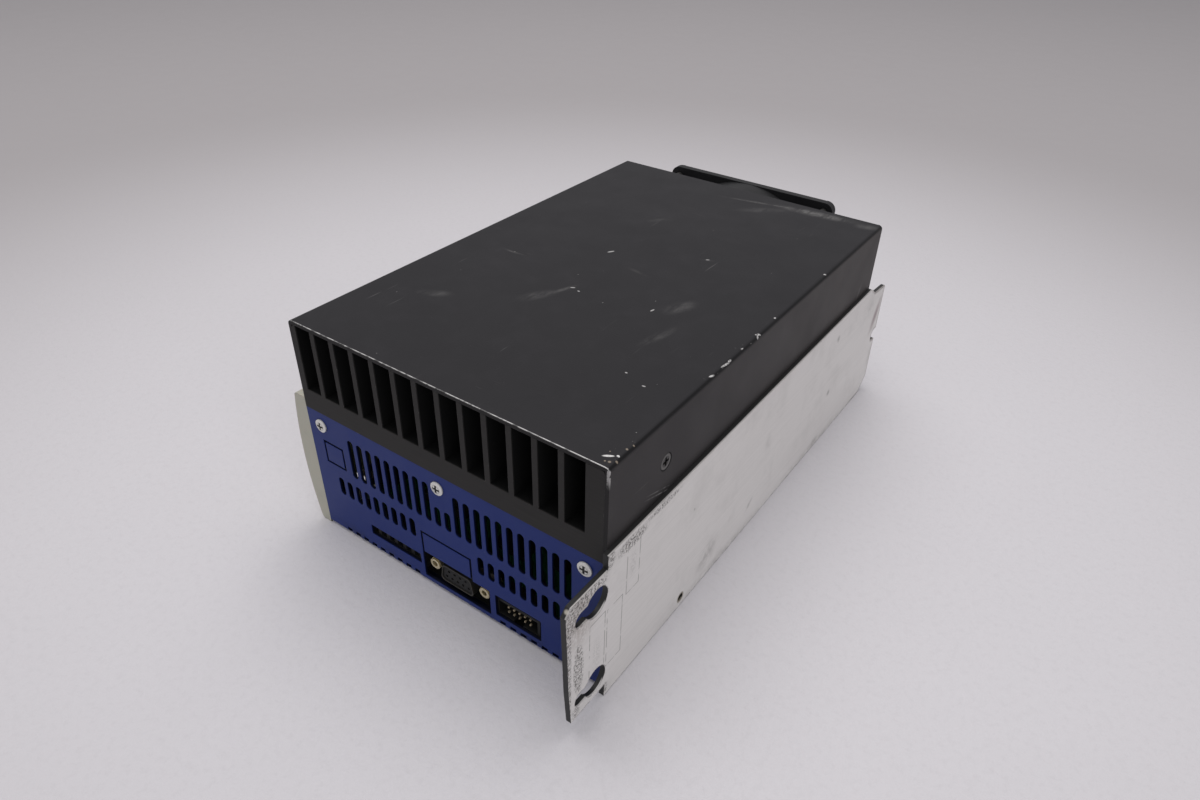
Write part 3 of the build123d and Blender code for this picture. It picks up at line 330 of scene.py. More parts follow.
        rub = m.times(line, strength)
        rubs = rub if rubs is None else m.most(rubs, rub)
    rubs = m.most(m.times(rubs, m.step(m.noise(0.6, 3.0), 0.35, 0.55)),
                  m.times(m.patch((COVER_SIDE, 90.0, 70.0), (3.0, 0.8, 6.5), -25, "X"), 0.12))
    bare = m.most(specks, fine, m.times(nicks, 0.6), worn, chips, rubs)
    colour = m.mix(m.times(tan, 0.6), colour, (0.34, 0.28, 0.22))
    colour = m.mix(bare, colour, METAL_CHIP)
    # Cut ends of the sheet are darker below the worn line
    cut_end = m.times(m.step(m.ny, -0.5, -0.9), m.invert(bare))
    colour = m.mix(m.times(cut_end, 0.6), colour, (0.004, 0.004, 0.004))
    m.set(Base_Color=colour, Metallic=m.times(bare, 0.6),
          Roughness=m.plus(0.43, m.times(m.noise(0.05, 4.0), 0.16), m.times(haze, 0.8), clamp=True))
    peel = m.plus(m.times(m.noise(1.6, 2.0), 0.8), m.times(m.noise(5.0, 2.0), 0.35),
                  m.times(bare, -0.6))
    m.bump(peel, 0.035, radius=0.25)
    return m.done()


def sink_metal():
    """Black anodised extrusion: lines along its length, a sawn matt end, painted shade inside its gaps."""
    m = Mat("sink_metal", Specular_IOR_Level=0.22)
    base = m.mix(m.noise(0.06, 4.0), (0.0120, 0.0116, 0.0114), (0.0190, 0.0182, 0.0178))
    end = m.step(m.op("ABSOLUTE", m.ny), 0.7, 0.95)
    saw = m.noise(1.2, 3.0, 0.6, stretch=(0.05, 1.0, 2.2))
    colour = m.mix(m.times(end, m.step(saw, 0.3, 0.7, 0.35, 0.8)), base, (0.030, 0.028, 0.027))
    run = m.noise(1.0, 3.0, 0.6, stretch=(1.6, 0.006, 1.6))
    # Painted shade: the insides of the gaps are near black and matt
    inside = m.times(m.step(m.y, -109.9, -109.3), m.step(m.z, 66.5, 68.0))
    colour = m.mix(inside, colour, (0.0008, 0.0008, 0.0008))
    dust = m.times(m.specks(0.6, 0.10, 0.06), m.step(m.z, 60.0, 75.0), m.invert(inside))
    edge = m.times(m.edge(0.3), m.step(m.noise(0.7, 4.0, 0.7), 0.57, 0.66), m.invert(inside))
    bare = m.most(m.times(dust, 0.25), m.times(edge, 0.40))
    colour = m.mix(bare, colour, DUST)
    matt = m.blend(end, m.plus(0.42, m.times(run, 0.15)), 0.66)
    m.set(Base_Color=colour, Metallic=0.0, Roughness=m.blend(inside, matt, 0.95))
    m.bump(m.blend(end, run, saw), 0.03, radius=0.25)
    return m.done()


def blue_paint():
    """Satin blue on folded sheet: painted shade below its outer skin, darker low down, specks, chips."""
    m = Mat("blue_paint", Specular_IOR_Level=0.24)
    deep, light = (0.0045, 0.0170, 0.1250), (0.0065, 0.0230, 0.1550)
    colour = m.mix(m.noise(0.03, 4.0), deep, light)
    colour = m.mix(m.step(m.noise(0.25, 5.0, 0.65), 0.52, 0.80, 0.0, 0.35), colour, (0.012, 0.030, 0.140))
    # Depth below the outer skin: the ends, the bottom and the bends between them
    past_end = m.op("MAXIMUM", m.op("SUBTRACT", m.op("ABSOLUTE", m.op("ADD", m.y, 2.5)), 105.5), 0.0)
    under = m.op("MINIMUM", m.op("SUBTRACT", m.z, 2.0), 0.0)
    reach = m.op("SQRT", m.plus(m.times(past_end, past_end), m.times(under, under)))
    depth = m.op("SUBTRACT", 2.0, reach)
    # Painted shade: everything deeper than the outer skin is near black
    colour = m.mix(m.times(m.step(depth, 0.08, 0.30), 0.94), colour, (0.0012, 0.0016, 0.0040))
    skin = m.step(depth, 0.30, 0.08)
    # Darker towards the bottom, in patches
    dark_patches = m.times(m.step(m.z, 9.0, 0.0), m.step(m.noise(0.16, 4.0), 0.42, 0.7), 0.45)
    colour = m.mix(dark_patches, colour, (0.010, 0.012, 0.022))
    specks = m.times(m.specks(0.5, 0.075, 0.05), skin, 0.35)
    chip = m.times(m.edge(0.3), m.step(m.noise(0.9, 4.0, 0.7), 0.64, 0.70), skin, 0.35)
    colour = m.mix(m.most(specks, chip), colour, (0.20, 0.23, 0.32))
    m.set(Base_Color=colour, Roughness=m.plus(0.42, m.times(m.noise(0.08, 4.0), 0.14)))
    m.bump(m.plus(m.noise(1.8, 2.0), m.times(m.noise(6.0, 2.0), 0.4)), 0.022, radius=0.25)
    return m.done()


def cream_plastic():
    """Cream moulded front: fine spark-eroded texture, patches of grey dirt, painted shade inside."""
    m = Mat("cream_plastic", Specular_IOR_Level=0.4, Subsurface_Weight=0.03,
            Subsurface_Scale=0.002)
    colour = m.mix(m.noise(0.03, 4.0), (0.385, 0.375, 0.310), (0.440, 0.430, 0.360))
    dirt = m.times(m.step(m.noise(0.12, 5.0, 0.65), 0.50, 0.78), 0.30)
    colour = m.mix(dirt, colour, (0.27, 0.26, 0.23))
    specks = m.times(m.specks(0.6, 0.085, 0.06), 0.55)
    colour = m.mix(specks, colour, (0.12, 0.11, 0.10))
    # Painted shade: faces that look into the housing are near black
    colour = m.mix(m.times(m.step(m.nx, 0.3, 0.8), 0.9), colour, (0.006, 0.006, 0.006))
    m.set(Base_Color=colour, Roughness=m.plus(0.46, m.times(m.noise(0.1, 3.0), 0.12)))
    m.bump(m.plus(m.noise(3.2, 3.0, 0.6), m.times(m.noise(0.4, 2.0), 0.3)), 0.03, radius=0.4)
    return m.done()


def wall_plate():
    """Bare plated steel outside, scuffed and stained; black on its cut edges and inside."""
    m = Mat("wall_plate", Specular_IOR_Level=0.5)
    upper_edge = m.times(m.step(m.x, 74.70, 74.85), m.step(m.nz, 0.5, 0.8), 0.8)
    outside = m.most(m.step(m.nx, 0.6, 0.9), upper_edge)
    colour = m.mix(m.noise(0.02, 4.0, 0.6), (0.610, 0.588, 0.572), (0.700, 0.678, 0.662))
    rolled = m.noise(1.0, 4.0, 0.65, stretch=(1.0, 0.02, 1.3))
    colour = m.mix(m.step(rolled, 0.35, 0.75, 0.0, 0.30), colour, (0.50, 0.485, 0.47))
    cloud = m.step(m.noise(0.05, 5.0, 0.65), 0.48, 0.72, 0.0, 0.40)
    colour = m.mix(cloud, colour, (0.53, 0.515, 0.50))
    # Soft stains
    stain = None
    for y, z, long, high, turn, strength in (
            (-43, 12, 13, 9, 30, 0.50), (68, 27, 2.6, 2.0, 0, 0.55), (62, 3, 8, 3.5, 0, 0.40),
            (3, 38, 5, 8, 10, 0.25), (-8, 12, 6, 2.0, 40, 0.50), (-98, 64, 16, 3, 0, 0.25),
            (108, 55, 10, 8, 0, 0.22), (-30, 1, 60, 4, 0, 0.35), (68, 56, 3.0, 4.0, 20, 0.30),
            (60, 1, 60, 4, 0, 0.35), (124, 20, 3.0, 14, 0, 0.25)):
        spot = m.times(m.patch((PLATE_FACE, y, z), (9.0, long, high), turn, "X"), strength)
        stain = spot if stain is None else m.plus(stain, spot)
    stain = m.times(stain, m.step(m.noise(0.22, 5.0, 0.7), 0.30, 0.62))
    colour = m.mix(stain, colour, (0.21, 0.20, 0.19))
    # Brown grime in the grain of the near flange
    browned = m.times(m.patch((PLATE_FACE, -126.0, 52.0), (9.0, 11.0, 17.0), soft=0.8),
                      m.step(m.noise(0.8, 5.0, 0.75), 0.34, 0.58), 0.55)
    colour = m.mix(browned, colour, (0.24, 0.195, 0.165))
    # A purplish brown smudge on the far flange and a darker line round its edge
    smudge = m.times(m.patch((PLATE_FACE, 119.0, 46.0), (9.0, 4.5, 13.0), -20, "X"), 0.85)
    colour = m.mix(smudge, colour, (0.22, 0.15, 0.16))
    far_rim = m.times(m.step(m.y, 100.0, 110.0), m.edge(2.0, 0.001, 0.05), 0.75)
    colour = m.mix(far_rim, colour, (0.17, 0.145, 0.13))
    # Painted shade of small dents: dark round spots
    for y, z, size in ((68.0, 56.5, 2.0), (69.0, 27.0, 2.2), (-58.0, 46.0, 0.8)):
        dent_shade = m.patch((PLATE_FACE, y, z), (9.0, size, size * 1.3), 20, "X")
        colour = m.mix(m.times(dent_shade, 0.6), colour, (0.20, 0.19, 0.18))
    # Grainy dark rub marks on the flange and along the edges, very faint inside two of the frames
    grain = m.step(m.noise(1.05, 6.0, 0.80), 0.47, 0.56, 0.0, 0.92)
    rub = None
    for y, z, long, high, strength in ((-126.6, 29.0, 3.4, 15.0, 1.0), (-122.5, 58.0, 13.5, 3.8, 1.0),
                                       (-129.0, 53.0, 3.6, 6.0, 0.8), (-131.6, 34.0, 1.7, 44.0, 1.0),
                                       (-128.0, 9.0, 3.0, 4.0, 0.5), (-112.0, 64.0, 5.0, 6.0, 0.7),
                                       (-98.5, 62.5, 12.0, 4.0, 0.6), (-97.5, 52.0, 3.2, 10.0, 0.16),
                                       (-80.0, 64.5, 16.0, 2.0, 0.5), (-117.0, 27.0, 3.8, 13.0, 0.16),
                                       (-112.0, 4.0, 3.0, 4.0, 0.6)):
        spot = m.times(m.patch((PLATE_FACE, y, z), (9.0, long, high), soft=0.7), strength)
        rub = spot if rub is None else m.most(rub, spot)
    grit = m.times(m.edge(0.9, 0.004, 0.12), m.step(m.y, -90.0, -108.0, 0.45, 1.0),
                   m.step(m.noise(0.35, 4.0, 0.7), 0.44, 0.56), m.step(m.y, 100.0, 90.0), 0.9)
    black = m.most(m.times(m.step(rub, 0.0, 0.55), grain), grit)
    corner = m.times(m.patch((74.5, -131.9, 59.7), (1.3, 1.3, 1.0), soft=0.6), 0.6)
    hole_rim = m.patch((PLATE_FACE, -62.0, 4.4), (9.0, 2.7, 2.7), soft=0.25)
    colour = m.mix(m.times(hole_rim, 0.8), colour, (0.16, 0.135, 0.08))
    # Faint outlines of old marks: thin empty frames
    frames = None
    for y, z, half_y, half_z in ((-107.3, 28.8, 4.2, 13.6), (-116.8, 28.6, 4.1, 14.6),
                                 (-97.5, 51.4, 3.6, 10.9)):
        across = m.op("SUBTRACT", m.op("ABSOLUTE", m.op("SUBTRACT", m.y, y)), half_y)
        along = m.op("SUBTRACT", m.op("ABSOLUTE", m.op("SUBTRACT", m.z, z)), half_z)
        line = m.step(m.op("ABSOLUTE", m.op("MAXIMUM", across, along)), 0.28, 0.08)
        frames = line if frames is None else m.most(frames, line)
    frames = m.times(frames, m.step(m.noise(0.3, 3.0), 0.34, 0.50), 0.60)
    black = m.times(m.most(black, frames), m.step(m.nx, 0.6, 0.9))
    colour = m.mix(black, colour, (0.060, 0.052, 0.046))
    paint = m.mix(m.noise(0.1, 4.0), (0.004, 0.004, 0.004), (0.008, 0.008, 0.008))
    worn = m.times(m.edge(0.4), m.step(m.noise(0.6, 5.0, 0.7), 0.60, 0.68))
    paint = m.mix(m.times(worn, 0.35), paint, (0.40, 0.39, 0.38))
    hair = m.step(m.noise(1.0, 2.0, 0.5, stretch=(1.0, 0.05, 0.9), shift=(2, 7, 1)), 0.68, 0.76)
    colour = m.mix(m.times(hair, 0.22), colour, (0.66, 0.65, 0.64))
    paint = m.mix(corner, paint, (0.62, 0.58, 0.50))
    colour = m.mix(outside, paint, colour)
    clean = m.times(outside, m.invert(m.most(black, m.times(stain, 0.8))))
    m.set(Base_Color=colour, Metallic=m.times(clean, 0.12),
          Roughness=m.blend(clean, 0.55, m.plus(0.42, m.times(cloud, 0.35))))
    m.bump(m.plus(m.times(rolled, 0.6), m.times(m.noise(0.9, 4.0), 0.5)), 0.02, radius=0.3)
    return m.done()


# ---- finishes that several nodes share ---------------------------------------------------------

def screw_metal(name, light, dark, metallic=0.9, rough=0.30):
    """Plated steel: faint cloudiness, a fine texture, dark patches, paler worn edges."""
    m = Mat(name)
    colour = m.mix(m.noise(0.4, 4.0), light, dark)
    dark_patches = m.step(m.noise(0.8, 5.0, 0.7), 0.52, 0.70, 0.0, 0.45)
    colour = m.mix(dark_patches, colour, tinted(dark, 0.35))
    worn = m.times(m.edge(0.2), 0.4)
    colour = m.mix(worn, colour, tinted(light, 1.15))
    m.set(Base_Color=colour, Metallic=metallic,
          Roughness=m.plus(rough, m.times(m.noise(1.2, 4.0), 0.22)))
    m.bump(m.noise(4.0, 3.0), 0.015, radius=0.12)
    return m.done()


def head_metal():
    """Bright plated heads of the housing screws, with painted shade in the cross and a painted shadow round
    their base.
    """
    m = Mat("head_metal", Specular_IOR_Level=0.5)
    colour = m.mix(m.noise(0.5, 4.0), (0.78, 0.77, 0.74), (0.66, 0.65, 0.62))
    above = m.op("SUBTRACT", m.op("ABSOLUTE", m.op("ADD", m.y, 2.5)), 107.5)
    # Painted shade: the cross recess of each head is near black
    recess = None
    for x in HEAD_SCREWS_X:
        near_axis = m.patch((x, 0.0, HEAD_SCREWS_Z), (1.9, 500.0, 1.9), soft=0.1)
        recess = near_axis if recess is None else m.most(recess, near_axis)
    recess = m.times(recess, m.step(above, 1.00, 0.85))
    # Painted shadow: a dark band at the base of each head, where it meets the housing
    rim = m.step(above, 0.30, 0.10)
    colour = m.mix(m.most(m.times(recess, 0.95), m.times(rim, 0.8)), colour, (0.010, 0.010, 0.010))
    m.set(Base_Color=colour, Metallic=m.times(m.invert(recess), 0.45),
          Roughness=m.plus(0.34, m.times(m.noise(1.2, 4.0), 0.2)))
    m.bump(m.noise(4.0, 3.0), 0.012, radius=0.12)
    return m.done()


def side_screw_metal():
    """Black countersunk screws: a painted highlight on the rim and arms, painted shade in the cross."""
    m = Mat("side_screw_metal", Specular_IOR_Level=0.4)
    colour = m.mix(m.noise(0.5, 4.0), (0.020, 0.019, 0.019), (0.034, 0.032, 0.031))
    # Painted highlight: a paler band over the rim and arms of each head
    ring = None
    for y in SIDE_SCREWS_Y:
        from_screw = m.from_axis(y, SIDE_SCREWS_Z)
        band = m.times(m.step(from_screw, 1.9, 2.2), m.step(from_screw, 2.85, 2.65))
        ring = band if ring is None else m.most(ring, band)
    colour = m.mix(m.times(ring, 0.8), colour, (0.110, 0.105, 0.100))
    # Painted shade: whatever lies sunk below the face, the cross included, is near black
    sunk = m.step(m.op("ABSOLUTE", m.op("SUBTRACT", m.x, 3.25)), 69.80, 69.65)
    colour = m.mix(m.times(sunk, 0.9), colour, (0.003, 0.003, 0.003))
    m.set(Base_Color=colour, Roughness=m.plus(0.40, m.times(m.noise(1.2, 4.0), 0.2)))
    m.bump(m.noise(4.0, 3.0), 0.012)
    return m.done()


def gold_tips():
    """Header pins: bright at their tips, dull and with painted shade further in."""
    m = Mat("gold_tips", Specular_IOR_Level=0.4)
    tip = m.step(m.y, -106.9, -107.6)
    colour = m.mix(tip, (0.020, 0.018, 0.014), (0.62, 0.52, 0.36))
    colour = m.mix(m.step(m.noise(1.5, 3.0), 0.4, 0.7, 0.0, 0.4), colour, (0.30, 0.24, 0.16))
    # Painted shade: further into the header the pins are near black
    colour = m.mix(m.invert(tip), colour, (0.016, 0.014, 0.011))
    m.set(Base_Color=colour, Metallic=m.times(tip, 0.6), Roughness=m.plus(0.35, m.times(m.noise(2.0), 0.2)))
    m.bump(m.noise(4.0), 0.01)
    return m.done()


def moulded(name, dark, light, rough=0.48, grain=3.0, dust=0.25, gloss=0.4, edge_light=0.3):
    """Moulded plastic: tone variation, fine texture, a film of dust, paler edges."""
    m = Mat(name, Specular_IOR_Level=gloss)
    colour = m.mix(m.noise(0.08, 4.0), dark, light)
    film = m.times(m.step(m.nz, 0.3, 0.9), m.step(m.noise(0.2, 5.0, 0.65), 0.40, 0.72), dust)
    pale = tuple(min(0.9, 0.05 + c * 1.2) for c in light)
    colour = m.mix(film, colour, pale)
    worn = m.times(m.edge(0.25), m.step(m.noise(0.7, 4.0), 0.5, 0.66), edge_light)
    colour = m.mix(worn, colour, pale)
    m.set(Base_Color=colour, Roughness=m.plus(rough, m.times(m.noise(0.15, 3.0), 0.14)))
    m.bump(m.plus(m.noise(grain, 3.0), m.times(m.noise(0.5, 2.0), 0.3)), 0.02, radius=0.2)
    return m.done()


def circuit_board():
    """Green solder mask over copper tracks and pads, with a paler cut edge."""
    m = Mat("circuit_board", Coat_Weight=0.35, Coat_Roughness=0.22)
    base = m.mix(m.noise(0.05, 3.0), (0.010, 0.085, 0.034), (0.014, 0.105, 0.045))
    across = m.cells(0.16, stretch=(1.0, 0.16, 1.0), randomness=0.85).outputs["Color"]
    along = m.cells(0.16, stretch=(0.16, 1.0, 1.0), randomness=0.85).outputs["Color"]
    split = m.tree.nodes.new("ShaderNodeSeparateColor")
    m.put(split.inputs[0], across)
    split_b = m.tree.nodes.new("ShaderNodeSeparateColor")
    m.put(split_b.inputs[0], along)
    track = m.most(m.step(split.outputs[0], 0.55, 0.60), m.step(split_b.outputs[1], 0.60, 0.65))
    colour = m.mix(m.times(track, 0.55), base, (0.030, 0.180, 0.070))
    dots = m.cells(0.35, randomness=0.15)
    pad = m.times(m.step(dots.outputs["Distance"], 0.22, 0.16), m.step(m.op("ABSOLUTE", m.nz), 0.5, 0.9))
    picked = m.tree.nodes.new("ShaderNodeSeparateColor")
    m.put(picked.inputs[0], dots.outputs["Color"])
    pad = m.times(pad, m.step(picked.outputs[0], 0.70, 0.72))
    colour = m.mix(pad, colour, (0.55, 0.52, 0.44))
    rim = m.step(m.op("ABSOLUTE", m.nz), 0.6, 0.4)
    colour = m.mix(m.times(rim, 0.7), colour, (0.30, 0.28, 0.14))
    m.set(Base_Color=colour, Metallic=m.times(pad, 0.8), Roughness=m.blend(pad, 0.42, 0.30))
    m.bump(m.plus(m.times(track, 0.5), m.times(pad, 0.8), m.times(m.noise(2.0), 0.1)), 0.035)
    return m.done()


def wound(name, light, dark, pitch, around=None):
    """Enamelled wire: ridges every `pitch` millimetres, along Z or around an upright axis."""
    m = Mat(name, Coat_Weight=0.4, Coat_Roughness=0.15)
    if around:
        angle = m.op("ARCTAN2", m.op("SUBTRACT", m.y, around[1]), m.op("SUBTRACT", m.x, around[0]))
        phase = m.times(angle, around[2])
    else:
        phase = m.times(m.z, 2 * math.pi / pitch)
    ridge = m.op("ABSOLUTE", m.op("SINE", phase))
    # Painted shade between the turns: the colour is darker in the valleys of the ridges
    colour = m.mix(ridge, tinted(dark, 0.45), light)
    colour = m.mix(m.step(m.noise(0.3, 4.0), 0.4, 0.7, 0.0, 0.5), colour, dark)
    m.set(Base_Color=colour, Metallic=0.75, Roughness=m.plus(0.28, m.times(m.noise(1.0), 0.2)))
    m.bump(ridge, 0.25)
    return m.done()


def sleeve():
    """Capacitor cans: dark sleeve with a pale stripe, aluminium at the ends."""
    m = Mat("sleeve", Coat_Weight=0.5, Coat_Roughness=0.12)
    flat = m.step(m.op("ABSOLUTE", m.nz), 0.75, 0.9)
    colour = m.mix(m.noise(0.1, 3.0), (0.012, 0.016, 0.040), (0.020, 0.026, 0.060))
    stripe = m.times(m.step(m.nx, 0.90, 0.93), m.invert(flat))
    colour = m.mix(m.times(stripe, 0.8), colour, (0.45, 0.47, 0.50))
    crease = m.step(m.noise(0.5, 3.0, stretch=(1.0, 1.0, 0.15)), 0.5, 0.8, 0.0, 0.2)
    colour = m.mix(crease, colour, (0.05, 0.06, 0.09))
    colour = m.mix(flat, colour, (0.66, 0.66, 0.66))
    m.set(Base_Color=colour, Metallic=m.times(flat, 0.9), Roughness=m.blend(flat, 0.28, 0.38))
    m.bump(m.noise(0.8, 3.0), 0.05, radius=0.3)
    return m.done()


def film():
    """Insulating sheet coloured black as painted shade inside the housing, slightly wavy, with a dull
    shine.
    """
    m = Mat("film", Specular_IOR_Level=0.3)
    colour = m.mix(m.noise(0.05, 3.0), (0.006, 0.006, 0.006), (0.012, 0.012, 0.012))
    m.set(Base_Color=colour, Roughness=m.plus(0.48, m.times(m.noise(0.2, 3.0), 0.2)))
    m.bump(m.noise(0.08, 3.0), 0.3)
    return m.done()


def smoked_window():
    """Dark glossy display window with faint wipe marks."""
    m = Mat("smoked_window", Coat_Weight=0.6, Coat_Roughness=0.05, Transmission_Weight=0.65,
            IOR=1.49)
    colour = m.mix(m.noise(0.05, 3.0), (0.20, 0.055, 0.05), (0.26, 0.075, 0.065))
    wipe = m.step(m.noise(0.4, 4.0, 0.6, stretch=(1.0, 0.15, 1.0)), 0.5, 0.8, 0.0, 0.25)
    m.set(Base_Color=colour, Roughness=m.plus(0.08, wipe))
    m.bump(m.noise(1.0, 3.0), 0.008, radius=0.3)
    return m.done()


def lamp_plastic():
    """Frosted light guides, each with its own faint tint."""
    m = Mat("lamp_plastic", Transmission_Weight=0.4, IOR=1.48, Coat_Weight=0.3)
    tint = m.step(m.z, 28.0, 29.0)
    colour = m.mix(tint, (0.42, 0.60, 0.40), (0.62, 0.50, 0.30))
    colour = m.mix(m.step(m.z, 37.0, 38.0), colour, (0.60, 0.34, 0.32))
    colour = m.mix(m.times(m.noise(0.5, 3.0), 0.3), colour, (0.75, 0.75, 0.72))
    m.set(Base_Color=colour, Roughness=m.plus(0.25, m.times(m.noise(1.5), 0.2)))
    m.bump(m.noise(3.0), 0.02)
    return m.done()


def display_face():
    """Grey display body; the engraved segments are a dull unlit red."""
    m = Mat("display_face", Specular_IOR_Level=0.35)
    face_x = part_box("display_module")[0].x * 1000
    sunk = m.times(m.step(m.x, face_x + 0.12, face_x + 0.22), m.step(m.x, face_x + 0.6, face_x + 0.4),
                   m.step(m.nx, -0.7, -0.9))
    colour = m.mix(m.noise(0.2, 4.0), (0.055, 0.055, 0.058), (0.075, 0.075, 0.078))
    colour = m.mix(sunk, colour, (0.42, 0.16, 0.13))
    m.set(Base_Color=colour, Roughness=m.plus(0.40, m.times(m.noise(0.4), 0.15)))
    m.bump(m.noise(3.0), 0.015)
    return m.done()


def rubbery(name, dark, light, depth=0.03):
    """Matt, slightly speckled surface of ferrite or silicone rubber."""
    m = Mat(name, Specular_IOR_Level=0.3)
    colour = m.mix(m.noise(0.1, 4.0), dark, light)
    colour = m.mix(m.times(m.specks(0.8, 0.12, 0.12), 0.4), colour, tinted(light, 1.5))
    m.set(Base_Color=colour, Roughness=m.plus(0.62, m.times(m.noise(0.3), 0.15)))
    m.bump(m.noise(2.4, 4.0), depth, radius=0.2)
    return m.done()


dark_zinc = screw_metal("dark_zinc", (0.16, 0.155, 0.15), (0.09, 0.088, 0.085), 0.8, 0.42)
zinc = screw_metal("zinc", (0.74, 0.73, 0.70), (0.56, 0.55, 0.52))
oxide = screw_metal("oxide", (0.035, 0.034, 0.033), (0.020, 0.019, 0.019), 0.2, 0.42)
black_steel = screw_metal("black_steel", (0.030, 0.029, 0.029), (0.018, 0.018, 0.018), 0.1, 0.46)
raw_steel = screw_metal("raw_steel", (0.60, 0.59, 0.58), (0.42, 0.41, 0.40), 0.95, 0.34)
gilt = screw_metal("gilt", (0.82, 0.74, 0.52), (0.62, 0.54, 0.34), 0.9, 0.28)
tinned = screw_metal("tinned", (0.86, 0.82, 0.70), (0.62, 0.58, 0.46), 0.95, 0.22)
dull_nickel = screw_metal("dull_nickel", (0.085, 0.080, 0.072), (0.044, 0.041, 0.036), 0.85, 0.36)
black_plastic = moulded("black_plastic", (0.006, 0.006, 0.006), (0.011, 0.011, 0.011), dust=0.1,
                        gloss=0.3)
fan_plastic = moulded("fan_plastic", (0.007, 0.007, 0.008), (0.012, 0.012, 0.013), 0.48, 2.2, 0.06,
                      0.28, 0.15)
grey_plastic = moulded("grey_plastic", (0.070, 0.070, 0.072), (0.100, 0.100, 0.100))
key_plastic = moulded("key_plastic", (0.055, 0.057, 0.062), (0.080, 0.082, 0.088), 0.5, 3.5, 0.1)
mark_plastic = moulded("mark_plastic", (0.46, 0.46, 0.44), (0.54, 0.54, 0.52), 0.5, 3.5, 0.1)
green_plastic = moulded("green_plastic", (0.020, 0.160, 0.060), (0.030, 0.200, 0.080), 0.38)
epoxy = moulded("epoxy", (0.014, 0.014, 0.015), (0.024, 0.024, 0.025), 0.52, 4.0, 0.15)
ferrite = rubbery("ferrite", (0.028, 0.027, 0.026), (0.045, 0.044, 0.043))
pad_rubber = rubbery("pad_rubber", (0.36, 0.38, 0.42), (0.44, 0.46, 0.50), 0.05)

finishes = {
    cover_coat(): ["heat_sink_cover"],
    sink_metal(): ["heat_sink"],
    blue_paint(): ["housing_cover"],
    cream_plastic(): ["front_panel"],
    wall_plate(): ["mounting_plate"],
    circuit_board(): ["control_board", "power_board", "panel_board"],
    sleeve(): ["link_capacitors"],
    film(): ["insulating_sheet"],
    smoked_window(): ["display_window"],
    lamp_plastic(): ["status_lights", "supply_fuse"],
    display_face(): ["display_module"],
    wound("choke_wire", (0.80, 0.42, 0.20), (0.52, 0.22, 0.09), 1.0, (28.0, 66.0, 26)):
        ["line_choke"],
    wound("coil_wire", (0.74, 0.36, 0.16), (0.50, 0.20, 0.08), 0.8):
        ["fan_stator"],
    head_metal(): ["housing_screws"],
    side_screw_metal(): ["cover_screws"],
    gold_tips(): ["header_pins"],
    zinc: ["panel_screws", "bracket_screws", "plate_studs", "plate_nuts",
           "fan_nuts"],
    dark_zinc: ["board_screws", "board_spacers", "power_board_posts", "terminal_clamps"],
    oxide: ["fan_screws", "fan_plate_screws"],
    black_steel: ["fan_plate", "fan_guard"],
    raw_steel: ["plate_bracket", "fan_shaft", "fan_bearings"],
    gilt: ["port_jackscrews"],
    dull_nickel: ["port_shells"],
    tinned: ["signal_pins", "power_pins"],
    black_plastic: ["box_header", "port_insulators", "terminal_block", "power_headers", "charge_relay",
                    "current_sensors", "board_link", "rectifier", "key_switches"],
    fan_plastic: ["fan_frame", "fan_impeller"],
    grey_plastic: ["power_module"],
    key_plastic: ["button_up", "button_down", "button_enter"],
    green_plastic: ["signal_header"],
    epoxy: ["control_chips", "supply_transformer"],
    ferrite: ["fan_magnet"],
    pad_rubber: ["thermal_pads"],
}
for material, names in finishes.items():
    for name in names:
        mesh = nodes[name].data
        mesh.materials.clear()
        mesh.materials.append(material)


# ---- raised marks on the keys --------------------------------------------------------------------

MARK_RISE = 0.00016


def key_mark(name, outline, key, body, hole=None):
    """A thin raised mark on a key's face; `outline` is in millimetres from its centre."""
    low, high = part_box(key)
    centre = Vector((low.x, (low.y + high.y) / 2, (low.z + high.z) / 2))
    shape = bmesh.new()
    rings = []
    for rise in (-0.0001, MARK_RISE):
        rings.append([[shape.verts.new(centre + Vector((-rise, -y / 1000, z / 1000)))
                       for y, z in loop] for loop in ([outline] if hole is None else [outline, hole])])
    for below, above in zip(*rings):
        count = len(below)
        for i in range(count):
            shape.faces.new((below[i], below[(i + 1) % count], above[(i + 1) % count], above[i]))
    for level in rings:
        if hole is None:
            shape.faces.new(level[0])
            continue
        count = len(outline)
        for i in range(count):
            shape.faces.new((level[0][i], level[0][(i + 1) % count], level[1][(i + 1) % count],
                             level[1][i]))
    bmesh.ops.recalc_face_normals(shape, faces=shape.faces)
    mesh = bpy.data.meshes.new(name)
    shape.to_mesh(mesh)
    shape.free()
    mesh.materials.append(mark_plastic)
    mark = bpy.data.objects.new(name, mesh)
    scene.collection.objects.link(mark)
    soft = mark.modifiers.new("soft", "BEVEL")
    soft.width = 0.00005
    soft.segments = 2
    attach(mark, body)


def ring_points(radius, count=32):
    return [(radius * math.cos(2 * math.pi * i / count), radius * math.sin(2 * math.pi * i / count))
            for i in range(count)]


ARROW = [(-1.9, -1.1), (1.9, -1.1), (0.0, 1.7)]
key_mark("mark_up", [(y, -z) for y, z in reversed(ARROW)], "button_up", "key_up")
key_mark("mark_down", ARROW, "button_down", "key_down")
key_mark("mark_enter", ring_points(1.7), "button_enter", "key_enter", hole=ring_points(1.05))


# ---- floor, light and camera --------------------------------------------------------------------

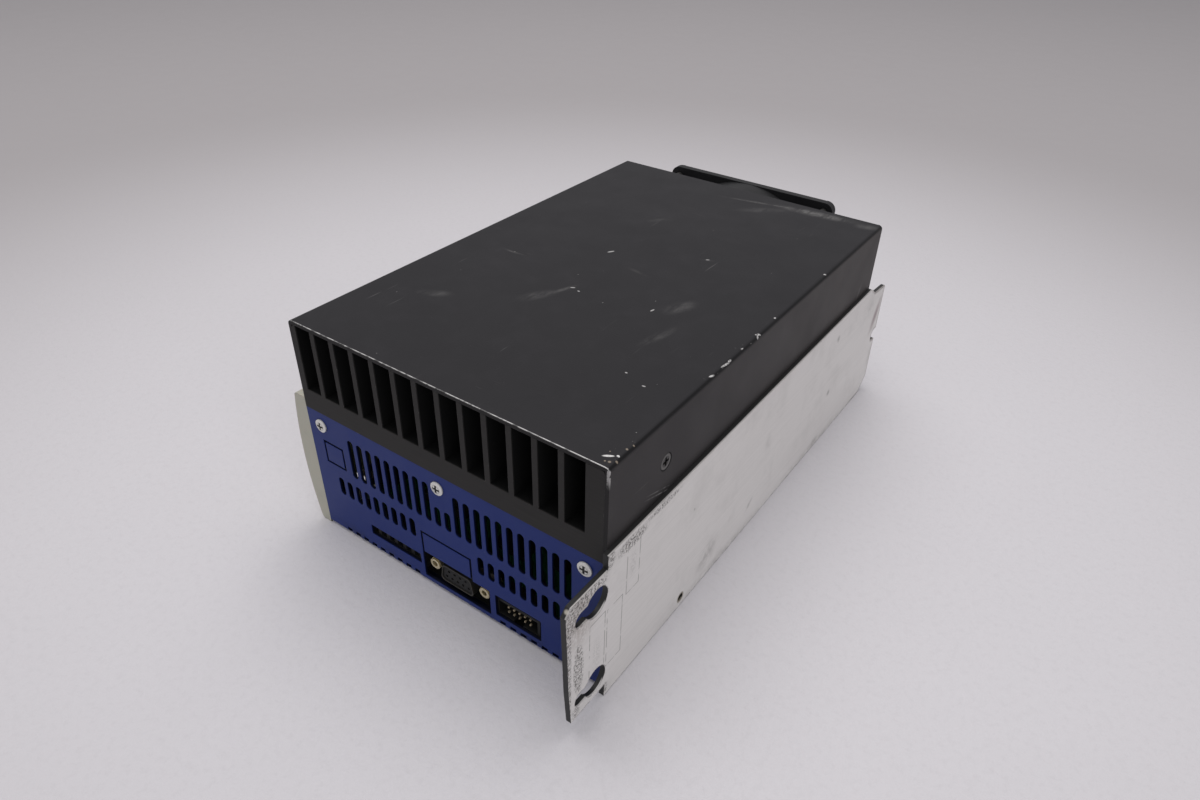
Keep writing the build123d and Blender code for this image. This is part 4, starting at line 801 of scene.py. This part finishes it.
def floor_finish():
    """Pale, faintly mottled soft mat with a painted pool of light round the object, darker away from it."""
    m = Mat("floor_finish", Specular_IOR_Level=0.2)
    colour = m.mix(m.noise(0.004, 4.0, 0.6), (0.585, 0.570, 0.592), (0.625, 0.610, 0.632))
    colour = m.mix(m.step(m.noise(0.35, 4.0, 0.7), 0.45, 0.75, 0.0, 0.5), colour, (0.55, 0.535, 0.555))
    # Painted pool of light: the floor darkens away from the object
    out = m.op("SQRT", m.plus(m.op("POWER", m.x, 2.0), m.op("POWER", m.y, 2.0)))
    colour = m.mix(m.step(out, 150.0, 640.0), colour, (0.370, 0.352, 0.358))
    m.set(Base_Color=colour, Roughness=m.plus(0.60, m.times(m.noise(0.05), 0.2)))
    m.bump(m.plus(m.noise(0.45, 4.0, 0.7), m.times(m.noise(0.06, 2.0), 0.6)), 0.35, strength=0.6)
    return m.done()


FLOOR_HALF = 4.0
FLOOR_Z = -0.0002
floor_mesh = bpy.data.meshes.new("floor")
shape = bmesh.new()
bmesh.ops.create_grid(shape, x_segments=8, y_segments=8, size=FLOOR_HALF)
shape.to_mesh(floor_mesh)
shape.free()
floor = bpy.data.objects.new("floor", floor_mesh)
floor.location.z = FLOOR_Z
floor_mesh.materials.append(floor_finish())
scene.collection.objects.link(floor)


def area_light(name, place, target, size, power, colour):
    data = bpy.data.lights.new(name, "AREA")
    data.shape = "RECTANGLE"
    data.size, data.size_y = size
    data.energy = power
    data.color = colour
    light = bpy.data.objects.new(name, data)
    light.location = place
    light.rotation_euler = (Vector(target) - Vector(place)).to_track_quat("-Z", "Y").to_euler()
    scene.collection.objects.link(light)


area_light("key_light", (-0.25, 0.15, 1.60), (0.0, 0.0, 0.0), (1.6, 1.3), 17.0, (1.0, 0.98, 0.97))
area_light("side_light", (1.5, -0.9, 0.9), (0.05, 0.0, 0.04), (1.2, 1.0), 7.0, (0.97, 0.98, 1.0))

world = bpy.data.worlds.new("studio")
world.use_nodes = True
world.node_tree.nodes["Background"].inputs[0].default_value = (0.98, 0.97, 1.0, 1.0)
world.node_tree.nodes["Background"].inputs[1].default_value = 0.52
scene.world = world
scene.view_settings.view_transform = "Standard"

CAMERA_PLACE = (0.1742, -0.2615, 0.2473)
AZIMUTH, ELEVATION, ROLL = (math.radians(a) for a in (34.68, 34.77, 1.40))
FOCAL_LENGTH = 25.32
back = Vector((math.sin(AZIMUTH) * math.cos(ELEVATION), -math.cos(AZIMUTH) * math.cos(ELEVATION),
               math.sin(ELEVATION)))
right = (-back).cross(Vector((0, 0, 1))).normalized()
up = back.cross(right)
turned_right = math.cos(ROLL) * right + math.sin(ROLL) * up
turned_up = -math.sin(ROLL) * right + math.cos(ROLL) * up
camera_data = bpy.data.cameras.new("camera")
camera_data.lens = FOCAL_LENGTH
camera_data.sensor_width = 36.0
camera_data.clip_start = 0.01
camera_data.clip_end = 30.0
camera = bpy.data.objects.new("camera", camera_data)
camera.matrix_world = Matrix.Translation(CAMERA_PLACE) @ Matrix(
    (turned_right, turned_up, back)).transposed().to_4x4()
scene.collection.objects.link(camera)
scene.camera = camera
